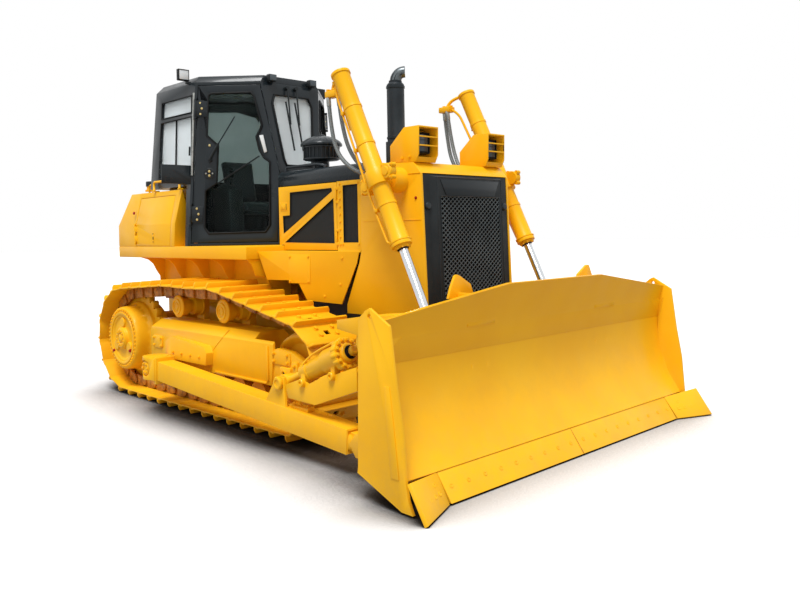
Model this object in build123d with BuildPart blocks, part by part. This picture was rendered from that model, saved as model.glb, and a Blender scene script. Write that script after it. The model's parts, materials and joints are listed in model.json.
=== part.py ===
from build123d import *
import math
import os

# Crawler bulldozer with a straight tilt blade.  Millimetres, +X forward, +Y left, +Z up.
# Origin: middle of the length, middle of the width, on the ground line.

os.makedirs("parts", exist_ok=True)

RIGHT, LEFT = -1, 1
SIDE_NAMES = {RIGHT: "right", LEFT: "left"}


def xz_at(y):
    """Return the XZ plane at y: local x is +X, local y is +Z, the normal is -Y."""
    return Plane(origin=(0, y, 0), x_dir=(1, 0, 0), z_dir=(0, -1, 0))


def yz_at(x):
    """Return the YZ plane at x: local x is +Y, local y is +Z, the normal is +X."""
    return Plane(origin=(x, 0, 0), x_dir=(0, 1, 0), z_dir=(1, 0, 0))


def slab(points, side, inner, outer):
    """Return a plate with the given (x, z) outline, between two distances from the middle plane."""
    low, high = sorted((side * inner, side * outer))
    with BuildPart() as plate:
        with BuildSketch(xz_at(high)):
            Polygon(*points, align=None)
        extrude(amount=high - low)
    return plate.part


def across(points, side, x0, x1):
    """Return a bar along X with the given (distance from the middle plane, z) outline."""
    with BuildPart() as bar:
        with BuildSketch(yz_at(x0)):
            Polygon(*[(side * y, z) for y, z in points], align=None)
        extrude(amount=x1 - x0)
    return bar.part


def upright(points, z0, z1):
    """Return a plate with the given (x, y) outline between two heights."""
    with BuildPart() as plate:
        with BuildSketch(Plane.XY.offset(z0)):
            Polygon(*points, align=None)
        extrude(amount=z1 - z0)
    return plate.part


def box(x0, x1, side, inner, outer, z0, z1):
    """Return a box between two x, two distances from the middle plane and two heights."""
    return slab(((x0, z0), (x1, z0), (x1, z1), (x0, z1)), side, inner, outer)


def disc(centre, radius, side, inner, outer):
    """Return a cylinder along Y about the (x, z) centre."""
    low, high = sorted((side * inner, side * outer))
    with BuildPart() as cylinder:
        with BuildSketch(xz_at(high)):
            with Locations(centre):
                Circle(radius)
        extrude(amount=high - low)
    return cylinder.part


def wheel(profile, x, y, z, side=1):
    """Return a body of revolution about Y from (radius, distance along Y) points."""
    with BuildPart() as turned:
        with BuildSketch(Plane(origin=(x, y, z), x_dir=(1, 0, 0), z_dir=(0, 0, 1))):
            Polygon(*[(r, side * d) for r, d in profile], align=None)
        revolve(axis=Axis((x, y, z), (0, 1, 0)))
    return turned.part


def column(profile, x, y):
    """Return a body of revolution about Z from (radius, z) points."""
    with BuildPart() as turned:
        with BuildSketch(xz_at(y)):
            Polygon(*[(x + r, z) for r, z in profile], align=None)
        revolve(axis=Axis((x, y, 0), (0, 0, 1)))
    return turned.part


def mirrored(profile):
    """Return a half profile closed by its mirror image across the wheel's middle."""
    return (*profile, *[(r, -d) for r, d in reversed(profile)])


def write(part, name):
    """Label a finished piece and write it as one STEP file."""
    part.label = name
    export_step(part, f"parts/{name}.step")


# ---------------------------------------------------------------- undercarriage
GAUGE = 1880
CENTRE_Y = GAUGE / 2
SHOE_WIDTH = 510
SHOE_PLATE = 12
GROUSER_HEIGHT = 50
GROUSER_THICK = 16
GROUSER_START = 2
GROUSER_FOOT = 6
SHOES_PER_TRACK = 40
LINK_HEIGHT = 97
LINK_WIDTH = 38
CHAIN_WIDTH = 190
PIN_TO_PLATE = 57
LINK_PITCH = 202
SHOE_PHASE = 46
RAIL_OFFSET = LINK_HEIGHT + SHOE_PLATE - PIN_TO_PLATE
ARC_STEPS = 60

SPROCKET_X = -2040
SPROCKET_Z = 547.5
SPROCKET_TEETH = 27
SPROCKET_WIDTH = 62
SPROCKET_PITCH_R = SPROCKET_Z - GROUSER_HEIGHT - PIN_TO_PLATE
IDLER_X = 670
IDLER_Z = 480
IDLER_PITCH_R = IDLER_Z - GROUSER_HEIGHT - PIN_TO_PLATE
IDLER_RIM_R = math.sqrt(IDLER_PITCH_R**2 - (LINK_PITCH / 2) ** 2) - RAIL_OFFSET - 1
GROUND_PIN_Z = GROUSER_HEIGHT + PIN_TO_PLATE

CARRIER_XS = (-1120, -350)
CARRIER_R = 88
CARRIER_Z = 905
CARRIER_GAP = 8
CARRIER_SAG = 12
CARRIER_PIN_Z = CARRIER_Z + CARRIER_R + RAIL_OFFSET + CARRIER_GAP
ROLLER_R = 98
ROLLER_Z = GROUND_PIN_Z + RAIL_OFFSET + ROLLER_R + 1
ROLLER_XS = [-1550 + 285 * n for n in range(7)]

FINAL_DRIVE_R = 305
FINAL_DRIVE_Y = 1170

FRAME_OUT_Y = 1130
FRAME_IN_Y = 760
FRAME_BOTTOM_Z = 385
FRAME_FOLD_Z = 705
FRAME_TOP_Z = 775
FRAME_REAR_X = -1512
FRAME_FRONT_X = 490
FRAME_CHAMFER = 70
IDLER_POCKET_X = 215
FRAME_WALL = 22
TRUNNION = (-1030, 395)
TRUNNION_R = 70
ARM_OUT_Y = 1405
ARM_IN_Y = 1255


def outward(points, n, offset):
    """Return point n of a closed clockwise line, moved outward by offset."""
    a, b, c = points[n - 1], points[n], points[(n + 1) % len(points)]
    dx, dz = c[0] - a[0], c[1] - a[1]
    size = math.hypot(dx, dz)
    turn = math.atan2(c[1] - b[1], c[0] - b[0]) - math.atan2(b[1] - a[1], b[0] - a[0])
    turn = (turn + math.pi) % math.tau - math.pi
    reach = offset / math.cos(turn / 2)
    return (b[0] - dz / size * reach, b[1] + dx / size * reach)


def arc_points(centre, radius, start, sweep):
    """Return points along a clockwise arc in the XZ plane."""
    angles = [start - n / ARC_STEPS * sweep for n in range(ARC_STEPS + 1)]
    return [(centre[0] + radius * math.cos(a), centre[1] + radius * math.sin(a)) for a in angles]


def loop_points(offset):
    """Return the closed line of one track as (x, z) points, one for each link joint."""
    fall = math.atan2(IDLER_Z + IDLER_PITCH_R - CARRIER_PIN_Z, IDLER_X - CARRIER_XS[1])
    rise = math.atan2(CARRIER_PIN_Z - SPROCKET_Z - SPROCKET_PITCH_R, CARRIER_XS[0] - SPROCKET_X)
    path = arc_points((SPROCKET_X, SPROCKET_Z), SPROCKET_PITCH_R, math.radians(270), math.pi - rise)
    path.append((CARRIER_XS[0], CARRIER_PIN_Z))
    path.append((sum(CARRIER_XS) / 2, CARRIER_PIN_Z - CARRIER_SAG))
    path.append((CARRIER_XS[1], CARRIER_PIN_Z))
    path += arc_points((IDLER_X, IDLER_Z), IDLER_PITCH_R, math.pi / 2 + fall, math.pi + fall)
    path.append(path[0])
    lengths = [math.dist(a, b) for a, b in zip(path, path[1:])]
    pitch = sum(lengths) / SHOES_PER_TRACK
    points, walked, goal = [], 0.0, SHOE_PHASE
    for a, b, length in zip(path, path[1:], lengths):
        while goal < walked + length - 1e-6 and len(points) < SHOES_PER_TRACK:
            t = (goal - walked) / length
            points.append((a[0] + t * (b[0] - a[0]), a[1] + t * (b[1] - a[1])))
            goal += pitch
        walked += length
    return [outward(points, n, offset) for n in range(SHOES_PER_TRACK)]


def shoe_outline():
    """Return the outer outline of the shoes: a plate and one grouser for each link."""
    base = loop_points(PIN_TO_PLATE)
    outline = []
    for n, a in enumerate(base):
        b = base[(n + 1) % SHOES_PER_TRACK]
        size = math.dist(a, b)
        ux, uz = (b[0] - a[0]) / size, (b[1] - a[1]) / size
        grouser = ((0, 0), (GROUSER_START, GROUSER_HEIGHT), (GROUSER_START + GROUSER_THICK, GROUSER_HEIGHT),
                   (GROUSER_START + GROUSER_THICK + GROUSER_FOOT, 0))
        outline += [(a[0] + ux * along - uz * up, a[1] + uz * along + ux * up) for along, up in grouser]
    return outline


SHOE_INNER = loop_points(PIN_TO_PLATE - SHOE_PLATE)
RAIL_INNER = loop_points(-RAIL_OFFSET)
SHOE_OUTER = shoe_outline()

with BuildPart() as tracks:
    for side in (RIGHT, LEFT):
        with BuildSketch(xz_at(side * CENTRE_Y + SHOE_WIDTH / 2)):
            Polygon(*SHOE_OUTER, align=None)
            Polygon(*SHOE_INNER, align=None, mode=Mode.SUBTRACT)
        extrude(amount=SHOE_WIDTH)
write(tracks.part, "tracks")

with BuildPart() as chains:
    for side in (RIGHT, LEFT):
        for row in (-1, 1):
            rail_y = side * CENTRE_Y + row * (CHAIN_WIDTH - LINK_WIDTH) / 2
            with BuildSketch(xz_at(rail_y + LINK_WIDTH / 2)):
                Polygon(*SHOE_INNER, align=None)
                Polygon(*RAIL_INNER, align=None, mode=Mode.SUBTRACT)
            extrude(amount=LINK_WIDTH)
write(chains.part, "chains")

# Sprocket ring with the final drive that carries it.
TOOTH = ((-0.42, -42), (-0.16, 8), (0.16, 8), (0.42, -42))
FINAL_DRIVE = ((0, 600), (230, 600), (230, 760), (330, 820), (350, 900), (350, 1000), (318, 1040),
               (FINAL_DRIVE_R + 6, 1130), (FINAL_DRIVE_R, FINAL_DRIVE_Y - 8),
               (FINAL_DRIVE_R - 8, FINAL_DRIVE_Y),
               (215, FINAL_DRIVE_Y), (200, FINAL_DRIVE_Y - 14), (112, FINAL_DRIVE_Y - 14),
               (104, FINAL_DRIVE_Y + 16), (0, FINAL_DRIVE_Y + 16))
with BuildPart() as sprockets:
    for side in (RIGHT, LEFT):
        teeth = []
        for n in range(SPROCKET_TEETH):
            for part_turn, rise in TOOTH:
                a = math.tau * (n + part_turn) / SPROCKET_TEETH
                r = SPROCKET_PITCH_R + rise
                teeth.append((SPROCKET_X + r * math.cos(a), SPROCKET_Z + r * math.sin(a)))
        add(slab(teeth, side, CENTRE_Y - SPROCKET_WIDTH / 2, CENTRE_Y + SPROCKET_WIDTH / 2))
        add(wheel(FINAL_DRIVE, SPROCKET_X, 0, SPROCKET_Z, side))
write(sprockets.part, "sprockets")

# Front idler: a wheel with two rims, a flange between them and its hub.
IDLER_PROFILE = ((0, 120), (70, 120), (70, 60), (IDLER_RIM_R - 70, 42), (IDLER_RIM_R - 24, 88),
                 (IDLER_RIM_R, 88), (IDLER_RIM_R, 42), (IDLER_RIM_R + 20, 38))
with BuildPart() as idlers:
    for side in (RIGHT, LEFT):
        add(wheel(mirrored(IDLER_PROFILE), IDLER_X, side * CENTRE_Y, IDLER_Z))
write(idlers.part, "idlers")

ROLLER_PROFILE = ((0, 112), (ROLLER_R + 18, 112), (ROLLER_R, 97), (ROLLER_R, 50), (ROLLER_R - 30, 44))
with BuildPart() as track_rollers:
    for side in (RIGHT, LEFT):
        for x in ROLLER_XS:
            add(wheel(mirrored(ROLLER_PROFILE), x, side * CENTRE_Y, ROLLER_Z))
write(track_rollers.part, "track_rollers")

# Track frame: a box with chamfered top edges, idler yokes, the arm's trunnion, carrier rollers.
CARRIER_PROFILE = ((0, -190), (45, -190), (45, -118), (CARRIER_R + 14, -112), (CARRIER_R + 14, -99),
                   (CARRIER_R, -97), (CARRIER_R, -30), (60, -24), (60, 24), (CARRIER_R, 30), (CARRIER_R, 97),
                   (CARRIER_R + 14, 99), (CARRIER_R + 14, 112), (CARRIER_R - 8, 124), (0, 124))
FRAME_SECTION = ((FRAME_IN_Y, FRAME_BOTTOM_Z), (FRAME_IN_Y, FRAME_TOP_Z - FRAME_CHAMFER),
                 (FRAME_IN_Y + FRAME_CHAMFER, FRAME_TOP_Z), (FRAME_OUT_Y - FRAME_CHAMFER, FRAME_TOP_Z),
                 (FRAME_OUT_Y, FRAME_FOLD_Z), (FRAME_OUT_Y, FRAME_BOTTOM_Z))
FRAME_SIDE = ((FRAME_REAR_X, FRAME_BOTTOM_Z), (FRAME_REAR_X, 673), (-1427, FRAME_TOP_Z),
              (FRAME_FRONT_X - 20, FRAME_TOP_Z), (FRAME_FRONT_X, FRAME_FOLD_Z), (459, FRAME_BOTTOM_Z))
YOKE = ((150, 400), (150, 600), (430, 650), (530, 681), (IDLER_X + 30, 666), (IDLER_X + 190, 607),
        (IDLER_X + 230, 520), (IDLER_X + 200, 400))
PIVOT_HOUSING = ((-1100, 455), (-400, 455), (-385, 560), (-430, 615), (-1000, 650), (-1100, 600))
PIVOT_PROUD = 70
with BuildPart() as track_frames:
    for side in (RIGHT, LEFT):
        with BuildPart() as beam:
            add(across(FRAME_SECTION, side, FRAME_REAR_X, FRAME_FRONT_X))
            add(slab(FRAME_SIDE, side, FRAME_IN_Y, FRAME_OUT_Y), mode=Mode.INTERSECT)
            add(box(IDLER_POCKET_X, FRAME_FRONT_X, side, FRAME_IN_Y + FRAME_WALL, FRAME_OUT_Y - FRAME_WALL,
                    FRAME_BOTTOM_Z, FRAME_TOP_Z), mode=Mode.SUBTRACT)
        add(beam.part)
        add(slab(PIVOT_HOUSING, side, FRAME_OUT_Y, FRAME_OUT_Y + PIVOT_PROUD))
        add(disc(TRUNNION, TRUNNION_R + 45, side, FRAME_OUT_Y, FRAME_OUT_Y + 60))
        add(disc(TRUNNION, TRUNNION_R, side, FRAME_OUT_Y, ARM_OUT_Y + 15))
        for y in (CENTRE_Y - 150, CENTRE_Y + 150):
            add(slab(YOKE, side, y - 25, y + 25))
        for x in CARRIER_XS:
            add(box(x - 60, x + 60, side, CENTRE_Y - 180, CENTRE_Y - 120, FRAME_FOLD_Z - 10, CARRIER_Z + 50))
            add(wheel(CARRIER_PROFILE, x, side * CENTRE_Y, CARRIER_Z, side))
write(track_frames.part, "track_frames")

# ---------------------------------------------------------------- main frame and engine
HULL_HALF = 430
HULL_BOTTOM_Z = 410
HULL_TOP_Z = 1120
REAR_X = -2653
GUARD_FRONT_X = 1492
DRAWBAR_X = -2560
DRAWBAR_Z = 480
DRAWBAR_BORE = 50
DRAWBAR_EAR = 40
DRAWBAR_GAP = 80
HULL_SIDE = ((-2480, 560), (-2380, HULL_BOTTOM_Z), (1200, HULL_BOTTOM_Z), (GUARD_FRONT_X - 40, 640),
             (GUARD_FRONT_X - 40, 900), (1150, 900), (1000, 820), (-1450, 820), (-1530, HULL_TOP_Z),
             (-2400, HULL_TOP_Z), (-2480, 1040))
DRAWBAR_PLAN = ((-2380, -160), (-2380, 160), (DRAWBAR_X, 75), (DRAWBAR_X - 80, 45), (DRAWBAR_X - 80, -45),
                (DRAWBAR_X, -75))

with BuildPart() as main_frame:
    # One closed welded hull: the steering case at the back, the belly under the engine.
    add(slab(HULL_SIDE, LEFT, -HULL_HALF, HULL_HALF))
    add(disc((SPROCKET_X, SPROCKET_Z), 220, LEFT, -600, 600))
    add(box(-60, 100, LEFT, -FRAME_IN_Y, FRAME_IN_Y, 430, 600))
    for z in (DRAWBAR_Z - DRAWBAR_GAP / 2 - DRAWBAR_EAR, DRAWBAR_Z + DRAWBAR_GAP / 2):
        add(upright(DRAWBAR_PLAN, z, z + DRAWBAR_EAR))
    with Locations((DRAWBAR_X, 0, DRAWBAR_Z)):
        Cylinder(DRAWBAR_BORE / 2, DRAWBAR_GAP + 2 * DRAWBAR_EAR + 2, mode=Mode.SUBTRACT)
write(main_frame.part, "main_frame")

with BuildPart() as engine_block:
    add(box(-100, 800, LEFT, -330, 330, 830, 1700))
write(engine_block.part, "engine_block")

# ---------------------------------------------------------------- radiator guard and hood
GUARD_HALF = 505
GUARD_PLATE = 20
GUARD_REAR_X = 825
GUARD_TOP_Z = 1980
GUARD_BOTTOM_Z = 905
GUARD_FOOT_X = 1530
CAP_SHEET = 12
SEAM_Z = 1408
GRILLE_HALF = 484
GRILLE_TOP_Z = 1974
GRILLE_BOTTOM_Z = 985
EXHAUST = (966, -235)
EXHAUST_PAD_Z = 2098
LIFT_Y = 724
LIFT_TRUNNION = (1275, 1938)
LIFT_TRUNNION_R = 38
GUARD_SIDE = ((GUARD_REAR_X, SEAM_Z), (798, 1312), (641, 977), (641, GUARD_BOTTOM_Z),
              (GUARD_FOOT_X, GUARD_BOTTOM_Z), (GUARD_FOOT_X, 1025), (GUARD_FRONT_X, GUARD_TOP_Z),
              (GUARD_REAR_X, GUARD_TOP_Z))
CAP_SIDE = ((GUARD_REAR_X, GUARD_TOP_Z), (GUARD_FRONT_X, GUARD_TOP_Z), (1415, 2063), (GUARD_REAR_X, 2088))
CAP_HOLLOW = ((GUARD_REAR_X, GUARD_TOP_Z), (GUARD_FRONT_X - 24, GUARD_TOP_Z), (1408, 2063 - CAP_SHEET),
              (GUARD_REAR_X, 2088 - CAP_SHEET))

with BuildPart() as radiator:
    add(box(1180, 1340, LEFT, GUARD_PLATE - GUARD_HALF, GUARD_HALF - GUARD_PLATE, GRILLE_BOTTOM_Z, 1900))
write(radiator.part, "radiator")

with BuildPart() as radiator_guard:
    for side in (RIGHT, LEFT):
        add(slab(GUARD_SIDE, side, GUARD_HALF - GUARD_PLATE, GUARD_HALF))
        # Bearing block and cap for the lift cylinder's trunnion.
        add(disc(LIFT_TRUNNION, 95, side, GUARD_HALF - 1, GUARD_HALF + 110))
        add(disc(LIFT_TRUNNION, LIFT_TRUNNION_R + 2, side, GUARD_HALF, GUARD_HALF + 110), mode=Mode.SUBTRACT)
    with BuildPart() as cap:
        add(slab(CAP_SIDE, LEFT, -GUARD_HALF, GUARD_HALF))
        add(slab(CAP_HOLLOW, LEFT, CAP_SHEET - GUARD_HALF, GUARD_HALF - CAP_SHEET), mode=Mode.SUBTRACT)
    add(cap.part)
    with Locations((*EXHAUST, EXHAUST_PAD_Z - 15)):
        Cylinder(104, 30)
    # Nose beam below the grille.
    add(slab(((1400, GUARD_BOTTOM_Z), (GUARD_FOOT_X, GUARD_BOTTOM_Z), (GUARD_FOOT_X, 968), (1400, 968)),
             LEFT, GUARD_PLATE - GUARD_HALF, GUARD_HALF - GUARD_PLATE))
write(radiator_guard.part, "radiator_guard")

HOOD_TOP_Z = 2106
HOOD_REAR_X = -270
HOOD_FRAME_Z = 1972
HOOD_RADIUS = 60
HOOD_SHEET = 10
COWL_HALF = 225
COWL_REAR_X = -612
COWL_TOP_Z = 2092
PLATFORM_TOP_Z = 1452
BULKHEAD_HALF = ((483, PLATFORM_TOP_Z), (483, HOOD_FRAME_Z), (496, HOOD_FRAME_Z), (496, 2046), (440, 2098))
BULKHEAD = BULKHEAD_HALF + tuple((-y, z) for y, z in reversed(BULKHEAD_HALF))


def hood_section(inset):
    """Return the corners of the hood's section, moved in by the sheet or not at all."""
    half, top = GUARD_HALF - inset, HOOD_TOP_Z - inset
    return (-half, HOOD_FRAME_Z), (-half, top), (half, top), (half, HOOD_FRAME_Z)


with BuildPart() as hood:
    with BuildSketch(yz_at(HOOD_REAR_X)):
        with BuildLine():
            FilletPolyline(*hood_section(0), radius=HOOD_RADIUS)
            Line(hood_section(0)[0], hood_section(0)[3])
        make_face()
        with BuildLine():
            FilletPolyline(*hood_section(HOOD_SHEET), radius=HOOD_RADIUS - HOOD_SHEET)
            Line(hood_section(HOOD_SHEET)[0], hood_section(HOOD_SHEET)[3])
        make_face(mode=Mode.SUBTRACT)
    extrude(amount=GUARD_REAR_X - HOOD_REAR_X)
    # Bulkhead in front of the cab and the cowl that joins the two.
    add(across(BULKHEAD, LEFT, HOOD_REAR_X, HOOD_REAR_X + HOOD_SHEET))
    add(box(COWL_REAR_X, HOOD_REAR_X, LEFT, -COWL_HALF, COWL_HALF, PLATFORM_TOP_Z + 10, COWL_TOP_Z))
write(hood.part, "hood")

# Grille: a leaning frame with a proud centre, its mesh set into the opening, header above.
GRILLE_LEAN = math.radians(2.0)
GRILLE_THICK = 30
GRILLE_PROUD = 38
GRILLE_SHEET = 8
grille_plane = Plane(origin=(GUARD_FRONT_X - 2, 0, GRILLE_TOP_Z), x_dir=(0, 1, 0),
                     z_dir=(math.cos(GRILLE_LEAN), 0, math.sin(GRILLE_LEAN)))
with BuildPart() as grille:
    with BuildSketch(grille_plane):
        Polygon((-GRILLE_HALF, 0), (GRILLE_HALF, 0), (GRILLE_HALF, GRILLE_BOTTOM_Z - GRILLE_TOP_Z),
                (-GRILLE_HALF, GRILLE_BOTTOM_Z - GRILLE_TOP_Z), align=None)
    extrude(amount=-GRILLE_THICK)
    with BuildSketch(grille_plane):
        Polygon((-420, -8), (420, -8), (420, -960), (-420, -960), align=None)
    with BuildSketch(grille_plane.offset(GRILLE_PROUD)):
        Polygon((-372, -24), (372, -24), (372, -940), (-372, -940), align=None)
    loft()
    with BuildSketch(grille_plane.offset(GRILLE_PROUD)):
        Polygon((-341, -164), (341, -164), (341, -920), (-341, -920), align=None)
    extrude(amount=-GRILLE_PROUD - GRILLE_THICK, mode=Mode.SUBTRACT)
    with BuildSketch(grille_plane.offset(GRILLE_PROUD - 6)):
        Polygon((-341, -164), (341, -164), (341, -920), (-341, -920), align=None)
    extrude(amount=-GRILLE_SHEET)
write(grille.part, "grille")

# ---------------------------------------------------------------- engine doors and side panels
DOOR_FRONT_X = 536
PANEL = 12
DOOR_GAP = 6
MESH_SHEET = 3
MESH_BACK_Y = GUARD_HALF - PANEL - MESH_SHEET
DOOR_MESH_UPPER = ((-99, 1910), (465, 1920), (473, 1899), (-203, 1559), (-209, 1708), (-107, 1712))
DOOR_MESH_LOWER = ((489, 1835), (494, 1473), (-184, 1480))
FIXED_MESH = ((616, 1933), (788, 1936), (790, 1479), (615, 1479))
HOOD_DOOR = ((HOOD_REAR_X, PLATFORM_TOP_Z + DOOR_GAP), (-200, PLATFORM_TOP_Z + DOOR_GAP),
             (-200, SEAM_Z + DOOR_GAP), (DOOR_FRONT_X - DOOR_GAP, SEAM_Z + DOOR_GAP),
             (DOOR_FRONT_X - DOOR_GAP, HOOD_FRAME_Z - DOOR_GAP),
             (HOOD_REAR_X, HOOD_FRAME_Z - DOOR_GAP))
# Hinge knuckles: a small round bar on the hinge's line, joined to its panel by a flat lug.
HOOD_HINGE = (533, 513)
BOX_HINGE = (-2243, 912)
KNUCKLE_R = 7
HOOD_KNUCKLES = ((1480, 1560), (1820, 1900))
BOX_KNUCKLES = ((1500, 1560), (1600, 1655))
KNUCKLE_GAP = 3
KNUCKLE_END = 24


def knuckle(hinge, side, lug_x, lug_y, z0, z1):
    """Return a knuckle on the upright (x, distance from the middle plane) line with its lug."""
    x, y = hinge
    lug = ((x, y - KNUCKLE_R + 1), (x, y + KNUCKLE_R - 2), (lug_x, lug_y + 5), (lug_x, lug_y))
    with BuildPart() as bar:
        add(column(((0, z0), (KNUCKLE_R, z0), (KNUCKLE_R, z1), (0, z1)), x, side * y))
        add(upright([(lug_x, side * lug_y) for lug_x, lug_y in lug], z0, z1))
    return bar.part


def fixed_spans(spans):
    """Return the spans of the fixed knuckles, one above and one below each moving one."""
    below = [(z0 - KNUCKLE_GAP - KNUCKLE_END, z0 - KNUCKLE_GAP) for z0, z1 in spans]
    return below + [(z1 + KNUCKLE_GAP, z1 + KNUCKLE_GAP + KNUCKLE_END) for z0, z1 in spans]


for side in (RIGHT, LEFT):
    with BuildPart() as hood_door:
        add(slab(HOOD_DOOR, side, GUARD_HALF - PANEL, GUARD_HALF))
        for opening in (DOOR_MESH_UPPER, DOOR_MESH_LOWER):
            add(slab(opening, side, GUARD_HALF - PANEL, GUARD_HALF), mode=Mode.SUBTRACT)
        add(box(HOOD_REAR_X + 20, DOOR_FRONT_X - 26, side, MESH_BACK_Y, GUARD_HALF - PANEL,
                PLATFORM_TOP_Z + 10,
                HOOD_FRAME_Z - 30))
        for z0, z1 in HOOD_KNUCKLES:
            add(knuckle(HOOD_HINGE, side, HOOD_HINGE[0] - 20, GUARD_HALF - 2, z0, z1))
    write(hood_door.part, f"hood_door_{SIDE_NAMES[side]}")

PLATFORM_FRONT_X = -208
PLATFORM_HALF = 900
PLATFORM_BOTTOM_Z = 1338
SWEEP_REAR = (PLATFORM_FRONT_X + 4, 785)
SWEEP_FRONT = (GUARD_REAR_X - 12, GUARD_HALF)
sweep_length = math.dist(SWEEP_REAR, SWEEP_FRONT)
SWEEP_PANEL = ((0, SEAM_Z), (sweep_length - 12, SEAM_Z), (sweep_length - 36, 1312), (sweep_length - 190, 980),
               (520, 1000), (420, 1165), (100, 1165))

with BuildPart() as side_panels:
    for side in (RIGHT, LEFT):
        # Fixed mesh panel between the door and the guard.
        add(box(DOOR_FRONT_X, GUARD_REAR_X, side, GUARD_HALF - PANEL, GUARD_HALF, SEAM_Z, HOOD_FRAME_Z))
        add(slab(FIXED_MESH, side, GUARD_HALF - PANEL, GUARD_HALF), mode=Mode.SUBTRACT)
        for z0, z1 in fixed_spans(HOOD_KNUCKLES):
            add(knuckle(HOOD_HINGE, side, HOOD_HINGE[0] + 20, GUARD_HALF - 2, z0, z1))
        add(box(600, 805, side, MESH_BACK_Y, GUARD_HALF - PANEL, SEAM_Z + 55, HOOD_FRAME_Z - 20))
        # Lower panel, swept in from the platform's corner to the guard, and the shelf on top of it.
        rear = Vector(SWEEP_REAR[0], side * SWEEP_REAR[1], 0)
        along = Vector(SWEEP_FRONT[0] - SWEEP_REAR[0], side * (SWEEP_FRONT[1] - SWEEP_REAR[1]),
                       0).normalized()
        with BuildSketch(Plane(origin=rear, x_dir=along, z_dir=along.cross(Vector(0, 0, 1)))):
            Polygon(*SWEEP_PANEL, align=None)
        extrude(amount=PANEL * side)
        add(upright(((SWEEP_REAR[0], side * SWEEP_REAR[1]), (SWEEP_FRONT[0], side * SWEEP_FRONT[1]),
                     (SWEEP_FRONT[0], side * (SWEEP_FRONT[1] - PANEL)),
                     (SWEEP_REAR[0], side * (GUARD_HALF - PANEL))),
                    SEAM_Z - PANEL, SEAM_Z))
write(side_panels.part, "side_panels")

# ---------------------------------------------------------------- platform, tank and fender boxes
REAR_GUSSET = ((HULL_HALF, PLATFORM_BOTTOM_Z), (880, PLATFORM_BOTTOM_Z), (800, 1310), (750, 1265),
               (715, 1197), (676, 1140),
               (670, 1000), (HULL_HALF, 900))
FRONT_GUSSET = ((HULL_HALF, PLATFORM_BOTTOM_Z), (880, PLATFORM_BOTTOM_Z), (838, 1296), (819, 1248),
                (799, 1197), (676, 1175),
                (670, 1000), (HULL_HALF, 900))
GUSSETS = ((-2191, REAR_GUSSET), (-1750, REAR_GUSSET), (-1300, REAR_GUSSET), (-850, REAR_GUSSET),
           (-232, FRONT_GUSSET))
GUSSET_PLATE = 16
WEB_Y = 620

with BuildPart() as platform:
    add(box(REAR_X, PLATFORM_FRONT_X, LEFT, -PLATFORM_HALF, PLATFORM_HALF, PLATFORM_BOTTOM_Z, PLATFORM_TOP_Z))
    for side in (RIGHT, LEFT):
        for x, gusset in GUSSETS:
            add(across(gusset, side, x, x + GUSSET_PLATE))
        add(box(GUSSETS[0][0], GUSSETS[-1][0], side, WEB_Y - GUSSET_PLATE, WEB_Y, 900, PLATFORM_BOTTOM_Z))
write(platform.part, "platform")

TANK_TOP_Z = 1998
TANK_FRONT_X = -2250
TANK_CREASE_Z = 1669
TANK_REAR_TOP_X = -2454
UPPER_LEAN = 65
BOX_INNER_Y = 640
BOX_WALL = 10
BOX_FRONT = ((-1446, PLATFORM_TOP_Z), (-1381, TANK_TOP_Z))
BOX_DOOR = ((-2235, 1458), (-1536, 1458), (-1509, 1673), (-1500, 1945), (-2207, 1940), (-2235, 1672))
BOX_DOOR_THICK = 6
BOX_DOOR_GAP = 6


def side_skin(inset, inner, bottom=PLATFORM_TOP_Z, top=TANK_TOP_Z):
    """Return the section of a fender box between an inner wall and its creased outer side."""
    lean = UPPER_LEAN * (top - TANK_CREASE_Z) / (TANK_TOP_Z - TANK_CREASE_Z)
    outer = PLATFORM_HALF - inset
    return (inner, bottom), (outer, bottom), (outer, TANK_CREASE_Z), (outer - lean, top),
    (inner - min(lean, 0), top)


def box_leaf(side, thick, grow=0):
    """Return a creased leaf under a fender box's outer side, inside the door's outline grown by a gap."""
    with BuildPart() as leaf:
        add(across(side_skin(0, 700), side, BOX_DOOR[0][0] - grow, BOX_FRONT[0][0]))
        add(across(side_skin(thick, 600), side, BOX_DOOR[0][0] - grow, BOX_FRONT[0][0]), mode=Mode.SUBTRACT)
        with BuildPart(mode=Mode.PRIVATE) as inside:
            with BuildSketch(xz_at(1000)):
                Polygon(*BOX_DOOR, align=None)
                offset(amount=grow, kind=Kind.INTERSECTION)
            extrude(amount=2000)
        add(inside.part, mode=Mode.INTERSECT)
    return leaf.part


TANK_SIDE = ((REAR_X, PLATFORM_TOP_Z), (TANK_FRONT_X, PLATFORM_TOP_Z), (TANK_FRONT_X, TANK_TOP_Z),
             (TANK_REAR_TOP_X, TANK_TOP_Z), (REAR_X, TANK_CREASE_Z))
with BuildPart() as fuel_tank:
    with BuildPart() as tank_body:
        for side in (RIGHT, LEFT):
            add(across(side_skin(0, -1), side, REAR_X, TANK_FRONT_X))
        add(slab(TANK_SIDE, LEFT, -PLATFORM_HALF, PLATFORM_HALF), mode=Mode.INTERSECT)
    add(tank_body.part)
    add(box(TANK_FRONT_X - 1, -2075, LEFT, -BOX_INNER_Y + 30, BOX_INNER_Y - 30, PLATFORM_TOP_Z, TANK_TOP_Z))
write(fuel_tank.part, "fuel_tank")

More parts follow.
